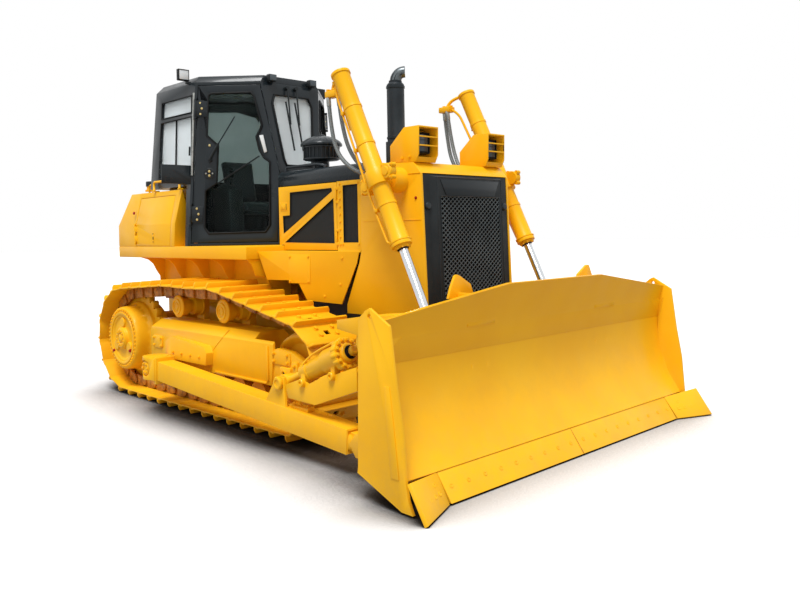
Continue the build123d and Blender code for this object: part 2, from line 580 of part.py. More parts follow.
BOX_HOLLOW = ((-2210, 1483), (-1561, 1483), (-1534, 1673), (-1525, 1920), (-2182, 1915), (-2210, 1672))
with BuildPart() as fender_boxes:
    for side in (RIGHT, LEFT):
        with BuildPart() as one_box:
            add(across(side_skin(0, BOX_INNER_Y), side, TANK_FRONT_X, BOX_FRONT[1][0]))
            add(slab((BOX_FRONT[0], BOX_FRONT[1], (0, TANK_TOP_Z), (0, PLATFORM_TOP_Z)), side, 0, 1000),
                mode=Mode.SUBTRACT)
            add(slab(BOX_HOLLOW, side, BOX_INNER_Y + BOX_WALL, 1000), mode=Mode.SUBTRACT)
            add(box_leaf(side, BOX_DOOR_THICK + 5, BOX_DOOR_GAP), mode=Mode.SUBTRACT)
        add(one_box.part)
        for z0, z1 in fixed_spans(BOX_KNUCKLES):
            add(knuckle(BOX_HINGE, side, BOX_HINGE[0] - 7, PLATFORM_HALF - 3, z0, z1))
write(fender_boxes.part, "fender_boxes")

for side in (RIGHT, LEFT):
    with BuildPart() as box_door:
        add(box_leaf(side, BOX_DOOR_THICK))
        for z0, z1 in BOX_KNUCKLES:
            add(knuckle(BOX_HINGE, side, BOX_HINGE[0] + 24, PLATFORM_HALF - 1, z0, z1))
    write(box_door.part, f"box_door_{SIDE_NAMES[side]}")

# ---------------------------------------------------------------- cab
CAB_HALF = 864
CAB_PILLAR_X = -1246
CAB_DOOR_ANGLE = math.radians(43.9)
CAB_SIDE_LEAN = 0.06
CAB_DOOR_LEAN = 0.02
CAB_NOSE_X = -560
CAB_FLOOR_Z = PLATFORM_TOP_Z
CAB_WAIST_Z = 2026
CAB_ROOF_Z = 2995
CAB_TOP_Z = 3060
CAB_LOWER_HALF = BOX_INNER_Y - 20
CAB_REAR = ((-2036, CAB_WAIST_Z), (-1966, CAB_ROOF_Z))
CAB_FRONT = ((-620, 2156), (-746, CAB_ROOF_Z))
WALL = 45
GLASS = 6


def cab_plan(inset, z):
    """Return the six-sided plan of the cab at a height, moved in by the given distance."""
    side_y = CAB_HALF - inset - CAB_SIDE_LEAN * (z - CAB_FLOOR_Z)
    offset = (inset + CAB_DOOR_LEAN * (z - CAB_FLOOR_Z)) / math.cos(CAB_DOOR_ANGLE)
    slope = math.tan(CAB_DOOR_ANGLE)
    pillar_x = CAB_PILLAR_X + (CAB_HALF - offset - side_y) / slope
    nose_y = CAB_HALF - offset - (CAB_NOSE_X - CAB_PILLAR_X) * slope
    right = [(CAB_REAR[0][0] - 20, -side_y), (pillar_x, -side_y), (CAB_NOSE_X, -nose_y)]
    return right + [(x, -y) for x, y in reversed(right)]


def cab_side(inset):
    """Return the side view of the cab, moved in by the given distance."""
    return ((CAB_REAR[0][0] + inset, CAB_FLOOR_Z + inset), (CAB_FRONT[0][0] - inset, CAB_FLOOR_Z + inset),
            (CAB_FRONT[0][0] - inset, CAB_FRONT[0][1]), (CAB_FRONT[1][0] - inset, CAB_ROOF_Z - inset),
            (CAB_REAR[1][0] + inset, CAB_ROOF_Z - inset), (CAB_REAR[0][0] + inset, CAB_WAIST_Z))


def cab_body(inset):
    """Return the closed body of the cab, moved in by the given distance."""
    with BuildPart() as body:
        for z in (CAB_FLOOR_Z, CAB_ROOF_Z):
            with BuildSketch(Plane.XY.offset(z)):
                Polygon(*cab_plan(inset, z), align=None)
        loft()
        add(slab(cab_side(inset), LEFT, -CAB_HALF, CAB_HALF), mode=Mode.INTERSECT)
        for side in (RIGHT, LEFT):
            add(box(CAB_REAR[0][0] - 50, CAB_PILLAR_X - 60 + inset, side, CAB_LOWER_HALF - inset, 1000,
                    CAB_FLOOR_Z, CAB_WAIST_Z + inset), mode=Mode.SUBTRACT)
    return body.part


def door_plane(side, depth=0.0):
    """Return the plane of a door: x runs from the pillar to the front, z points outward."""
    lean = math.atan(CAB_DOOR_LEAN)
    flat = math.cos(lean)
    out = Vector(math.sin(CAB_DOOR_ANGLE) * flat, side * math.cos(CAB_DOOR_ANGLE) * flat, math.sin(lean))
    along = Vector(math.cos(CAB_DOOR_ANGLE), -side * math.sin(CAB_DOOR_ANGLE), 0)
    origin = Vector(CAB_PILLAR_X, side * CAB_HALF, CAB_FLOOR_Z) + out * depth
    return Plane(origin=origin, x_dir=along, z_dir=out)


def on_door(side, points):
    """Return (distance from the pillar, height) points as local points of door_plane."""
    rise = side * math.hypot(1, CAB_DOOR_LEAN)
    return [(u, -rise * (z - CAB_FLOOR_Z)) for u, z in points]


def side_pane(side, outline, inner, outer):
    """Return a plate that follows the leaning side wall of the cab, between two depths."""
    low, high = outline[0][1], outline[2][1]
    faces = [(CAB_HALF - depth - CAB_SIDE_LEAN * (z - CAB_FLOOR_Z), z)
             for depth, z in ((inner, low), (outer, low), (outer, high), (inner, high))]
    with BuildPart() as pane:
        add(across(faces, side, outline[0][0] - 100, outline[1][0] + 100))
        add(slab(outline, side, 0, 1000), mode=Mode.INTERSECT)
    return pane.part


def front_pane(outline, inner, outer):
    """Return a plate that follows the leaning front wall of the cab, between two depths."""
    (x0, z0), (x1, z1) = CAB_FRONT
    slope = (x1 - x0) / (z1 - z0)
    low, high = min(z for _, z in outline), max(z for _, z in outline)
    faces = [(x0 + slope * (z - z0) - depth, z) for depth, z in ((inner, low), (outer, low), (outer, high),
                                                                 (inner, high))]
    with BuildPart() as pane:
        add(slab(faces, LEFT, -500, 500))
        add(across(outline, LEFT, -1200, 0), mode=Mode.INTERSECT)
    return pane.part


CAB_HINGE = Vector(-1194, 821, 2200)
CAB_HINGE_LEAN = Vector(0.0334, -0.0598, 1)
CAB_HINGE_R = 12
CAB_KNUCKLES = ((1679, 1828), (2674, 2823))
# Hinge leaves in plan: (distance along the door, distance outward) from the hinge's line.
MOVING_LEAF = ((0, -11), (34, -13), (40, -22), (112, -22), (112, -10), (30, -2), (0, 8))
FIXED_LEAF = ((-18, -24), (4, -24), (8, 6), (-10, 6))


def cab_knuckle(side, leaf, z0, z1):
    """Return a knuckle of a cab door's hinge with its leaf, between two heights."""
    up = Vector(CAB_HINGE_LEAN.X, side * CAB_HINGE_LEAN.Y, 1)
    foot = Vector(CAB_HINGE.X, side * CAB_HINGE.Y, CAB_HINGE.Z) + up * (z0 - CAB_HINGE.Z)
    along = Vector(math.cos(CAB_DOOR_ANGLE), -side * math.sin(CAB_DOOR_ANGLE), 0)
    across_up = along - up * (along.dot(up) / up.dot(up))
    with BuildPart() as bar:
        with BuildSketch(Plane(origin=foot, x_dir=across_up, z_dir=up)):
            Circle(CAB_HINGE_R)
            Polygon(*[(a, side * out) for a, out in leaf], align=None)
        extrude(amount=(z1 - z0) * up.length)
    return bar.part


DOOR_OPENING = ((25, 1478), (859, 1478), (887, 2156), (718, 2970), (126, 2970))
DOOR_LEAF = ((25 + DOOR_GAP, 1478 + DOOR_GAP), (859 - DOOR_GAP, 1478 + DOOR_GAP), (887 - DOOR_GAP, 2156),
             (718 - DOOR_GAP, 2970 - DOOR_GAP), (126 + DOOR_GAP, 2970 - DOOR_GAP))
DOOR_WINDOW = ((225, 2872), (250, 2889), (627, 2891), (656, 2852), (726, 2581), (704, 2527), (670, 2474),
               (700, 2344),
               (742, 2273), (794, 2234), (786, 1640), (739, 1576), (204, 1569), (161, 1630), (177, 1976),
               (285, 2044),
               (308, 2396), (201, 2495))
SIDE_WINDOWS = (((-1860, 2125), (-1212, 2125), (-1240, 2680), (-1838, 2680)),
                ((-1836, 2720), (-1242, 2720), (-1249, 2880), (-1832, 2880)))
FRONT_WINDOW = ((-150, 2205), (150, 2205), (172, 2268), (235, 2795), (200, 2880), (-200, 2880), (-235, 2795),
                (-172, 2268))
REAR_WINDOW = ((-620, 2120), (620, 2120), (600, 2860), (-600, 2860))
CATCH_PLATE = ((-1236, 2040), (-1228, 2040), (-1228, 2215), (-1236, 2215))

with BuildPart() as cab_shell:
    add(cab_body(0))
    add(cab_body(WALL), mode=Mode.SUBTRACT)
    for side in (RIGHT, LEFT):
        with BuildSketch(door_plane(side, -150)):
            Polygon(*on_door(side, DOOR_OPENING), align=None)
        extrude(amount=200, mode=Mode.SUBTRACT)
        for outline in SIDE_WINDOWS:
            add(slab(outline, side, CAB_HALF - 200, CAB_HALF + 10), mode=Mode.SUBTRACT)
        add(slab(CATCH_PLATE, side, CAB_HALF - 60, CAB_HALF + 260))
        for z0, z1 in fixed_spans(CAB_KNUCKLES):
            add(cab_knuckle(side, FIXED_LEAF, z0, z1))
    add(across(FRONT_WINDOW, LEFT, -900, -500), mode=Mode.SUBTRACT)
    add(across(REAR_WINDOW, LEFT, -2100, -1900), mode=Mode.SUBTRACT)
write(cab_shell.part, "cab_shell")

with BuildPart() as cab_glass:
    for side in (RIGHT, LEFT):
        for outline in SIDE_WINDOWS:
            add(side_pane(side, outline, 30, 30 - GLASS))
    add(front_pane(FRONT_WINDOW, 30, 30 - GLASS))
    (rear_low, rear_z0), (rear_high, rear_z1) = CAB_REAR
    rear_slope = (rear_high - rear_low) / (rear_z1 - rear_z0)
    rear_x = [rear_low + rear_slope * (z - rear_z0) for z in (REAR_WINDOW[0][1], REAR_WINDOW[2][1])]
    with BuildPart() as rear_pane:
        add(slab(((rear_x[0] + 24, REAR_WINDOW[0][1]), (rear_x[0] + 30, REAR_WINDOW[0][1]),
                  (rear_x[1] + 30, REAR_WINDOW[2][1]), (rear_x[1] + 24, REAR_WINDOW[2][1])), LEFT, -700, 700))
        add(across(REAR_WINDOW, LEFT, -2100, -1900), mode=Mode.INTERSECT)
    add(rear_pane.part)
write(cab_glass.part, "cab_glass")

LAMP_FOOT_Z = 3025
ROOF_SIDE = ((CAB_REAR[1][0], CAB_ROOF_Z), (CAB_FRONT[1][0], CAB_ROOF_Z), (CAB_FRONT[1][0] - 18, CAB_TOP_Z),
             (CAB_REAR[1][0] + 60, CAB_TOP_Z))
with BuildPart() as cab_roof:
    with BuildPart() as roof_plate:
        for inset, z in ((0, CAB_ROOF_Z), (45, CAB_TOP_Z)):
            with BuildSketch(Plane.XY.offset(z)):
                Polygon(*cab_plan(inset, z), align=None)
        loft()
        add(slab(ROOF_SIDE, LEFT, -CAB_HALF, CAB_HALF), mode=Mode.INTERSECT)
    add(roof_plate.part)
    for side in (RIGHT, LEFT):
        add(box(-1340, -1310, side, 700, 800, CAB_ROOF_Z + 5, LAMP_FOOT_Z))
write(cab_roof.part, "cab_roof")

for side in (RIGHT, LEFT):
    with BuildPart() as cab_door:
        with BuildSketch(door_plane(side, 5 - WALL)):
            Polygon(*on_door(side, DOOR_LEAF), align=None)
            Polygon(*on_door(side, DOOR_WINDOW), align=None, mode=Mode.SUBTRACT)
        extrude(amount=WALL - 5)
        for z0, z1 in CAB_KNUCKLES:
            add(cab_knuckle(side, MOVING_LEAF, z0, z1))
    write(cab_door.part, f"cab_door_{SIDE_NAMES[side]}")
    with BuildPart() as door_glass:
        with BuildSketch(door_plane(side, -WALL / 2)):
            Polygon(*on_door(side, DOOR_WINDOW), align=None)
        extrude(amount=GLASS)
    write(door_glass.part, f"door_glass_{SIDE_NAMES[side]}")

# Work lamps: two at the roof's front corners, two on brackets at its sides.
with BuildPart() as roof_lamps:
    for side in (RIGHT, LEFT):
        add(box(-744, -690, side, 195, 280, CAB_TOP_Z - 60, CAB_TOP_Z + 4))
        add(box(-1345, -1305, side, 772, 885, LAMP_FOOT_Z, 3133))
write(roof_lamps.part, "roof_lamps")

SEAT_X = -1450
CABIN_FLOOR_Z = CAB_FLOOR_Z + WALL
with BuildPart() as seat:
    add(slab(((SEAT_X - 180, CABIN_FLOOR_Z), (SEAT_X + 150, CABIN_FLOOR_Z), (SEAT_X + 150, 1760),
              (SEAT_X + 260, 1780),
              (SEAT_X + 260, 1900), (SEAT_X - 130, 1880), (SEAT_X - 250, 2480), (SEAT_X - 370, 2460),
              (SEAT_X - 270, 1760),
              (SEAT_X - 180, 1760)), LEFT, -250, 250))
write(seat.part, "seat")

with BuildPart() as console:
    for side in (RIGHT, LEFT):
        add(slab(((SEAT_X - 150, CABIN_FLOOR_Z), (SEAT_X + 350, CABIN_FLOOR_Z), (SEAT_X + 330, 2000),
                  (SEAT_X + 200, 2060),
                  (SEAT_X - 150, 1960)), side, 320, 470))
    add(slab(((-860, CABIN_FLOOR_Z), (-620 - WALL, CABIN_FLOOR_Z), (-620 - WALL, 2110), (-780, 2130),
              (-880, 1950)),
             LEFT, -180, 180))
write(console.part, "console")

# ---------------------------------------------------------------- hood fittings
EXHAUST_R = 70
ELBOW_R = 44
ELBOW_WALL = 3
ELBOW_Z = 2738
ELBOW_BEND = 76
ELBOW_RISE = 8
STACK = ((0, EXHAUST_PAD_Z), (84, EXHAUST_PAD_Z), (84, 2268), (EXHAUST_R, 2272), (EXHAUST_R, 2720),
         (54, ELBOW_Z), (0, ELBOW_Z))
with BuildPart() as exhaust:
    add(column(STACK, *EXHAUST))
    with BuildLine() as pipe_line:
        rise = Line((*EXHAUST, ELBOW_Z), (*EXHAUST, ELBOW_Z + ELBOW_RISE))
        bend_plane = Plane(origin=(*EXHAUST, ELBOW_Z + ELBOW_RISE), x_dir=(1, 1, 0), z_dir=(1, -1, 0))
        end = bend_plane.from_local_coords((ELBOW_BEND, ELBOW_BEND))
        TangentArc(rise @ 1, end, tangent=rise % 1)
    with BuildSketch(Plane.XY.offset(ELBOW_Z)):
        with Locations(EXHAUST):
            Circle(ELBOW_R)
            Circle(ELBOW_R - ELBOW_WALL, mode=Mode.SUBTRACT)
    sweep()
write(exhaust.part, "exhaust")

PRE_CLEANER = (68, -280)
with BuildPart() as pre_cleaner:
    add(column(((0, HOOD_TOP_Z), (60, HOOD_TOP_Z), (60, 2180), (150, 2190), (150, 2310), (182, 2312),
                (182, 2330), (165, 2352),
                (130, 2375), (80, 2394), (0, 2405)), *PRE_CLEANER))
write(pre_cleaner.part, "pre_cleaner")

# Headlamp guards: open boxes of plate with two bars, the lamps inside.
LAMP_GUARD = ((1170, 2076), (1440, 2064), (1470, 2120), (1475, 2327), (1320, 2327), (1170, 2200))
LAMP_HOLLOW = ((1300, 2100), (1500, 2100), (1500, 2315), (1322, 2315), (1300, 2290))
LAMP_Y = (290, 500)
with BuildPart() as headlamp_guards:
    for side in (RIGHT, LEFT):
        add(slab(LAMP_GUARD, side, *LAMP_Y))
        add(slab(LAMP_HOLLOW, side, LAMP_Y[0] + 8, LAMP_Y[1] - 8), mode=Mode.SUBTRACT)
        for z in (2180, 2245):
            add(box(1462, 1470, side, LAMP_Y[0] + 8, LAMP_Y[1] - 8, z, z + 10))
write(headlamp_guards.part, "headlamp_guards")

with BuildPart() as headlamps:
    for side in (RIGHT, LEFT):
        add(box(1310, 1400, side, LAMP_Y[0] + 30, LAMP_Y[1] - 30, 2130, 2290))
        add(box(1300, 1310, side, LAMP_Y[0] + 80, LAMP_Y[1] - 80, 2180, 2240))
write(headlamps.part, "headlamps")

# Handrails of round tube: on the fender boxes and along the hood's rear corners.
RAIL_R = 12
RAIL_BEND = 20
HOOD_RAIL = ((-225, HOOD_TOP_Z + RAIL_R), (-225, 2140), (215, 2140), (330, HOOD_TOP_Z + RAIL_R))
BOX_RAIL = ((-1915, TANK_TOP_Z + RAIL_R), (-1915, 2095), (-1400, 2095), (-1400, TANK_TOP_Z + RAIL_R))
# Each rail: its line, its distance from the middle plane, the inner edge of its feet, their bottom.
RAILS = ((HOOD_RAIL, 445, 431, HOOD_TOP_Z), (BOX_RAIL, 852, 800, TANK_TOP_Z))
with BuildPart() as handrails:
    for side in (RIGHT, LEFT):
        for points, y, foot_y, foot_z in RAILS:
            with BuildPart() as rail:
                with BuildLine() as rail_line:
                    FilletPolyline(*[(x, side * y, z) for x, z in points], radius=RAIL_BEND)
                with BuildSketch(Plane(origin=rail_line.line @ 0, z_dir=rail_line.line % 0)):
                    Circle(RAIL_R)
                sweep()
            add(rail.part)
            for x, z in (points[0], points[-1]):
                add(box(x - 14, x + 14, side, foot_y, y + 14, foot_z, z))
write(handrails.part, "handrails")

# ---------------------------------------------------------------- push arms and blade
BALL = (1760, 215)
ARM_HALF_HEIGHT = 82
ARM_Y = 1330
BALL_R = 52
ARM_TILT = math.atan2(BALL[1] - TRUNNION[1], BALL[0] - TRUNNION[0])
ARM_LENGTH = math.dist(TRUNNION, BALL)
TILT_PIN = (950, 510)
TILT_EYE = (1880, 885)
PIN_R = 25


def along_arm(distance, height):
    """Return the (x, z) point at a distance from the trunnion and a height over the arm's line."""
    return (TRUNNION[0] + distance * math.cos(ARM_TILT) - height * math.sin(ARM_TILT),
            TRUNNION[1] + distance * math.sin(ARM_TILT) + height * math.cos(ARM_TILT))


ARM_BEAM_END = ARM_LENGTH - 90
ARM_BEAM = [along_arm(d, h) for d, h in ((150, -ARM_HALF_HEIGHT), (ARM_BEAM_END, -ARM_HALF_HEIGHT),
                                         (ARM_BEAM_END, ARM_HALF_HEIGHT), (150, ARM_HALF_HEIGHT))]
ARM_NECK = [along_arm(d, h) for d, h in ((ARM_BEAM_END - 20, -60), (ARM_LENGTH, -60), (ARM_LENGTH, 60),
                                         (ARM_BEAM_END - 20, 60))]
ARM_FLANGE = [along_arm(d, h) for d, h in ((145, -115), (175, -115), (175, 115), (145, 115))]
PIN_EAR = ((TILT_PIN[0] - 200, 330), (TILT_PIN[0] + 60, 310), (TILT_PIN[0] + 45, TILT_PIN[1] + 42),
           (TILT_PIN[0] - 45, TILT_PIN[1] + 42))

for side in (RIGHT, LEFT):
    with BuildPart() as push_arm:
        add(slab(ARM_BEAM, side, ARM_IN_Y, ARM_OUT_Y))
        add(slab(ARM_FLANGE, side, ARM_IN_Y - 15, ARM_OUT_Y + 15))
        add(column(((0, 295), (112, 295), (112, 495), (0, 495)), TRUNNION[0], side * ARM_Y))
        add(box(TRUNNION[0], along_arm(160, 0)[0], side, ARM_Y - 100, ARM_Y + 100, 300, 490))
        add(disc(TRUNNION, TRUNNION_R + 2, side, ARM_Y - 150, ARM_Y + 150), mode=Mode.SUBTRACT)
        add(slab(ARM_NECK, side, ARM_Y - 45, ARM_Y + 45))
        with Locations((BALL[0], side * ARM_Y, BALL[1])):
            Sphere(BALL_R)
        for y in (ARM_Y - 60, ARM_Y + 60):
            add(slab(PIN_EAR, side, y - 10, y + 10))
        add(disc(TILT_PIN, PIN_R, side, ARM_Y - 85, ARM_Y + 85))
    write(push_arm.part, f"push_arm_{SIDE_NAMES[side]}")

EDGE_TOP = (2405, 171)
EDGE_TIP = (2514, 12)
EDGE_BACK = (EDGE_TOP[0] - 21, EDGE_TOP[1] - 14)
BLADE_TOP = (2330, 1210)
BLADE_HALF = 1620
MOLD_MIDDLE = (2212, 640)
MOLD_PLATE = 22
END_PLATE = 20
TOP_FALL_Y = 550
TOP_END_Z = 1060
END_SIDE = ((2050, 187), (2444, 178), (2420, 468), (2376, 707), (2331, 1034), (2172, 1125), (2140, 1110),
            (2075, 1057))
END_HEEL = ((2050, 187), (2044, 159), (2408, 15), (2495, 14), (2460, 90), (2444, 178))
LIFT_EYE = (1950, 550)
LOWER_BEAM = ((2100, 130), (2355, 135), EDGE_BACK, (2290, 330), (2100, 330))
UPPER_BEAM = ((2080, 800), (2215, 800), (2235, 960), (2110, 960))
RIB = ((2105, 320), (2260, 320), (2205, 500), (2200, 700), (2215, 810), (2090, 810), (2150, 700), (2150, 450))
RIB_YS = (250, 480, 1000, 1180, 1500)
LIFT_EAR = ((2215, 440), (2215, 700), (1990, 610), (1890, 560), (1890, 520), (1990, 440))
BALL_EAR = ((2110, 140), (2110, 320), (BALL[0], BALL[1] + 75), (BALL[0] - 60, BALL[1]),
            (BALL[0], BALL[1] - 75))
TILT_EAR = ((2120, 820), (2120, 960), (TILT_EYE[0] - 40, TILT_EYE[1] + 60), (TILT_EYE[0] - 60, TILT_EYE[1]),
            (TILT_EYE[0] - 40, TILT_EYE[1] - 60))
EARS = ((LIFT_EAR, (648, 800)), (BALL_EAR, (1262, 1398)), (TILT_EAR, (1229, 1431)))
# Bent plate over the tilt cylinder's rod, on the blade's back.
ROD_COVER_TOP = ((1653, 1006), (1874, 1040), (2235, 1075))
ROD_COVER_PLATE = 9
ROD_COVER_ROOF = ROD_COVER_TOP + tuple((x, z - ROD_COVER_PLATE) for x, z in reversed(ROD_COVER_TOP))
ROD_COVER_SIDE = ROD_COVER_TOP + ((2235, 940), (2110, 900), (1870, 921), (1653, 948))
SIGHT_FIN = ((605, 1116), (859, 1116), (830, 1190), (790, 1262), (770, 1268), (750, 1262), (640, 1200))

with BuildPart() as blade:
    with BuildSketch(xz_at(BLADE_HALF)):
        with BuildLine():
            mold = ThreePointArc(EDGE_TOP, MOLD_MIDDLE, BLADE_TOP)
            back = ThreePointArc(EDGE_BACK, (MOLD_MIDDLE[0] - MOLD_PLATE, MOLD_MIDDLE[1]),
                                 (BLADE_TOP[0] - 30, BLADE_TOP[1]))
            Line(mold @ 0, back @ 0)
            Line(mold @ 1, back @ 1)
        make_face()
        Polygon(*LOWER_BEAM, align=None)
        Polygon(*UPPER_BEAM, align=None)
    extrude(amount=2 * BLADE_HALF)
    for side in (RIGHT, LEFT):
        # The top edge falls away towards both ends.
        fall = ((TOP_FALL_Y, BLADE_TOP[1]), (BLADE_HALF + 1, TOP_END_Z), (BLADE_HALF + 1, BLADE_TOP[1] + 1),
                (TOP_FALL_Y, BLADE_TOP[1] + 1))
        add(across(fall, side, 2000, 2600), mode=Mode.SUBTRACT)
        add(slab(END_SIDE, side, BLADE_HALF, BLADE_HALF + END_PLATE))
        add(slab(END_HEEL, side, BLADE_HALF, BLADE_HALF + END_PLATE))
        add(disc((2171, 1077), 15, side, BLADE_HALF - 1, BLADE_HALF + END_PLATE + 1), mode=Mode.SUBTRACT)
        for y in RIB_YS:
            add(slab(RIB, side, y - 8, y + 8))
        for outline, rows in EARS:
            for y in rows:
                add(slab(outline, side, y - 10, y + 10))
        add(across(SIGHT_FIN, side, 2050, 2070))
        add(slab(((2050, 1000), (2240, 1000), (2270, 1130), (2200, 1150), (2050, 1150)), side, 745, 765))
        add(slab(((2110, 950), (2240, 950), (2240, 1010), (2050, 1010)), side, 600, 870))
        add(slab(ROD_COVER_ROOF, side, 1225, 1450))
        add(slab(ROD_COVER_SIDE, side, 1450 - ROD_COVER_PLATE, 1450))
write(blade.part, "blade")

EDGE_THICK = 25
EDGE_HALF = 1347
BIT = (Vector(EDGE_TOP[0], 1350, EDGE_TOP[1]), Vector(EDGE_TIP[0], 1362, EDGE_TIP[1]),
       Vector(2653, 1683, EDGE_TIP[1]),
       Vector(2508, 1683, 203))
with BuildPart() as cutting_edge:
    add(slab((EDGE_TOP, EDGE_TIP, (EDGE_TIP[0] - 30, EDGE_TIP[1]), EDGE_BACK), LEFT, -EDGE_HALF, EDGE_HALF))
    for side in (RIGHT, LEFT):
        corners = [Vector(c.X, side * c.Y, c.Z) for c in BIT]
        down = (corners[1] - corners[0]).normalized()
        normal = (corners[1] - corners[0]).cross(corners[2] - corners[0]).normalized()
        bit_plane = Plane(origin=corners[0], x_dir=down, z_dir=normal)
        with BuildSketch(bit_plane):
            Polygon(*[tuple(bit_plane.to_local_coords(c))[:2] for c in corners], align=None)
        extrude(amount=-EDGE_THICK if normal.X > 0 else EDGE_THICK)
write(cutting_edge.part, "cutting_edge")

# ---------------------------------------------------------------- cylinders
LIFT_BARREL_R = 68
LIFT_BARREL_ENDS = (-919, 539)
LIFT_ROD_R = 34
TILT_LENGTH = math.dist(TILT_PIN, TILT_EYE)


def tube(start, end, y, inner, spans):
    """Return round bodies along the line from start to end: (from, to, radius) spans, bored out."""
    length = math.dist(start, end)
    along = ((end[0] - start[0]) / length, (end[1] - start[1]) / length)
    with BuildPart() as body:
        for low, high, radius in spans:
            origin = (start[0] + along[0] * low, y, start[1] + along[1] * low)
            with BuildSketch(Plane(origin=origin, x_dir=(0, 1, 0), z_dir=(along[0], 0, along[1]))):
                Circle(radius)
            extrude(amount=high - low)
        if inner:
            low, high, radius = inner
            origin = (start[0] + along[0] * low, y, start[1] + along[1] * low)
            with BuildSketch(Plane(origin=origin, x_dir=(0, 1, 0), z_dir=(along[0], 0, along[1]))):
                Circle(radius)
            extrude(amount=high - low, mode=Mode.SUBTRACT)
    return body.part


for side in (RIGHT, LEFT):
    low, high = LIFT_BARREL_ENDS
    with BuildPart() as lift_barrel:
        with BuildPart() as pivot:
            add(disc(LIFT_TRUNNION, LIFT_TRUNNION_R, side, GUARD_HALF + 12, LIFT_Y + 60))
        add(pivot.part)
        add(tube(LIFT_TRUNNION, LIFT_EYE, side * LIFT_Y, None,
                 ((low, high, LIFT_BARREL_R), (-60, 60, 90), (low, low + 22, 76), (high - 30, high, 76))))
        add(tube(LIFT_TRUNNION, LIFT_EYE, side * LIFT_Y, None, ((low + 60, high + 1, LIFT_ROD_R + 4),)),
            mode=Mode.SUBTRACT)
    write(lift_barrel.part, f"lift_barrel_{SIDE_NAMES[side]}")
    with BuildPart() as lift_rod:
        add(tube(LIFT_TRUNNION, LIFT_EYE, side * LIFT_Y, None,
                 ((60, math.dist(LIFT_TRUNNION, LIFT_EYE) - 40, LIFT_ROD_R),)))
        add(disc(LIFT_EYE, 62, side, LIFT_Y - 40, LIFT_Y + 40))
        add(disc(LIFT_EYE, 30, side, LIFT_Y - 41, LIFT_Y + 41), mode=Mode.SUBTRACT)
    write(lift_rod.part, f"lift_rod_{SIDE_NAMES[side]}")

# Tilt cylinder on the right with the plate that shields it from below, hung on two lugs; on the left
# a solid brace of the same length.
TILT_SPANS = ((30, 245, 32), (235, 515, 69), (505, 675, 87), (665, 712, 106))
SHIELD_FACE_Y = 1400
SHIELD_PLATE = 8
SHIELD_FLANGE = 60
SHIELD_LOWER = ((1048, 417), (1345, 411), (1775, 560))
SHIELD = SHIELD_LOWER + ((1775, 712), (1709, 692), (1535, 630), (1525, 650), (1285, 545), (1188, 566),
                         (1015, 506))
SHIELD_SOLE = SHIELD_LOWER + tuple((x, z + SHIELD_PLATE) for x, z in reversed(SHIELD_LOWER))
SHIELD_LUGS = (((1199, 525), (1239, 525), (1239, 600), (1199, 600)),
               ((1518, 610), (1558, 610), (1558, 720), (1518, 720)))
with BuildPart() as tilt_barrel:
    add(tube(TILT_PIN, TILT_EYE, -ARM_Y, None, TILT_SPANS))
    add(slab(SHIELD, RIGHT, SHIELD_FACE_Y - SHIELD_PLATE, SHIELD_FACE_Y))
    add(slab(SHIELD_SOLE, RIGHT, SHIELD_FACE_Y - SHIELD_FLANGE, SHIELD_FACE_Y - 1))
    for lug in SHIELD_LUGS:
        add(slab(lug, RIGHT, SHIELD_FACE_Y - 50, SHIELD_FACE_Y - 1))
    add(disc(TILT_PIN, 56, LEFT, -ARM_Y - 46, -ARM_Y + 46))
    add(disc(TILT_PIN, PIN_R, LEFT, -ARM_Y - 47, -ARM_Y + 47), mode=Mode.SUBTRACT)
    add(tube(TILT_PIN, TILT_EYE, -ARM_Y, None, ((270, 713, 44),)), mode=Mode.SUBTRACT)
write(tilt_barrel.part, "tilt_barrel")

with BuildPart() as tilt_rod:
    add(tube(TILT_PIN, TILT_EYE, -ARM_Y, None, ((400, TILT_LENGTH - 30, 38),)))
    add(disc(TILT_EYE, 58, LEFT, -ARM_Y - 41, -ARM_Y + 41))
    add(disc(TILT_EYE, PIN_R, LEFT, -ARM_Y - 42, -ARM_Y + 42), mode=Mode.SUBTRACT)
write(tilt_rod.part, "tilt_rod")

with BuildPart() as brace:
    add(tube(TILT_PIN, TILT_EYE, ARM_Y, None, ((30, 280, 38), (260, 700, 60), (680, TILT_LENGTH - 30, 38))))
    add(disc(TILT_PIN, 56, LEFT, ARM_Y - 46, ARM_Y + 46))
    add(disc(TILT_PIN, PIN_R, LEFT, ARM_Y - 47, ARM_Y + 47), mode=Mode.SUBTRACT)
    add(disc(TILT_EYE, 58, LEFT, ARM_Y - 41, ARM_Y + 41))
write(brace.part, "brace")
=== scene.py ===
"""Look of a crawler bulldozer: finishes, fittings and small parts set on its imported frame."""

from __future__ import annotations

import json
import logging
import math
from collections.abc import Iterator
from contextlib import contextmanager
from dataclasses import dataclass, field
from enum import Enum

import bpy
from mathutils import Matrix, Vector

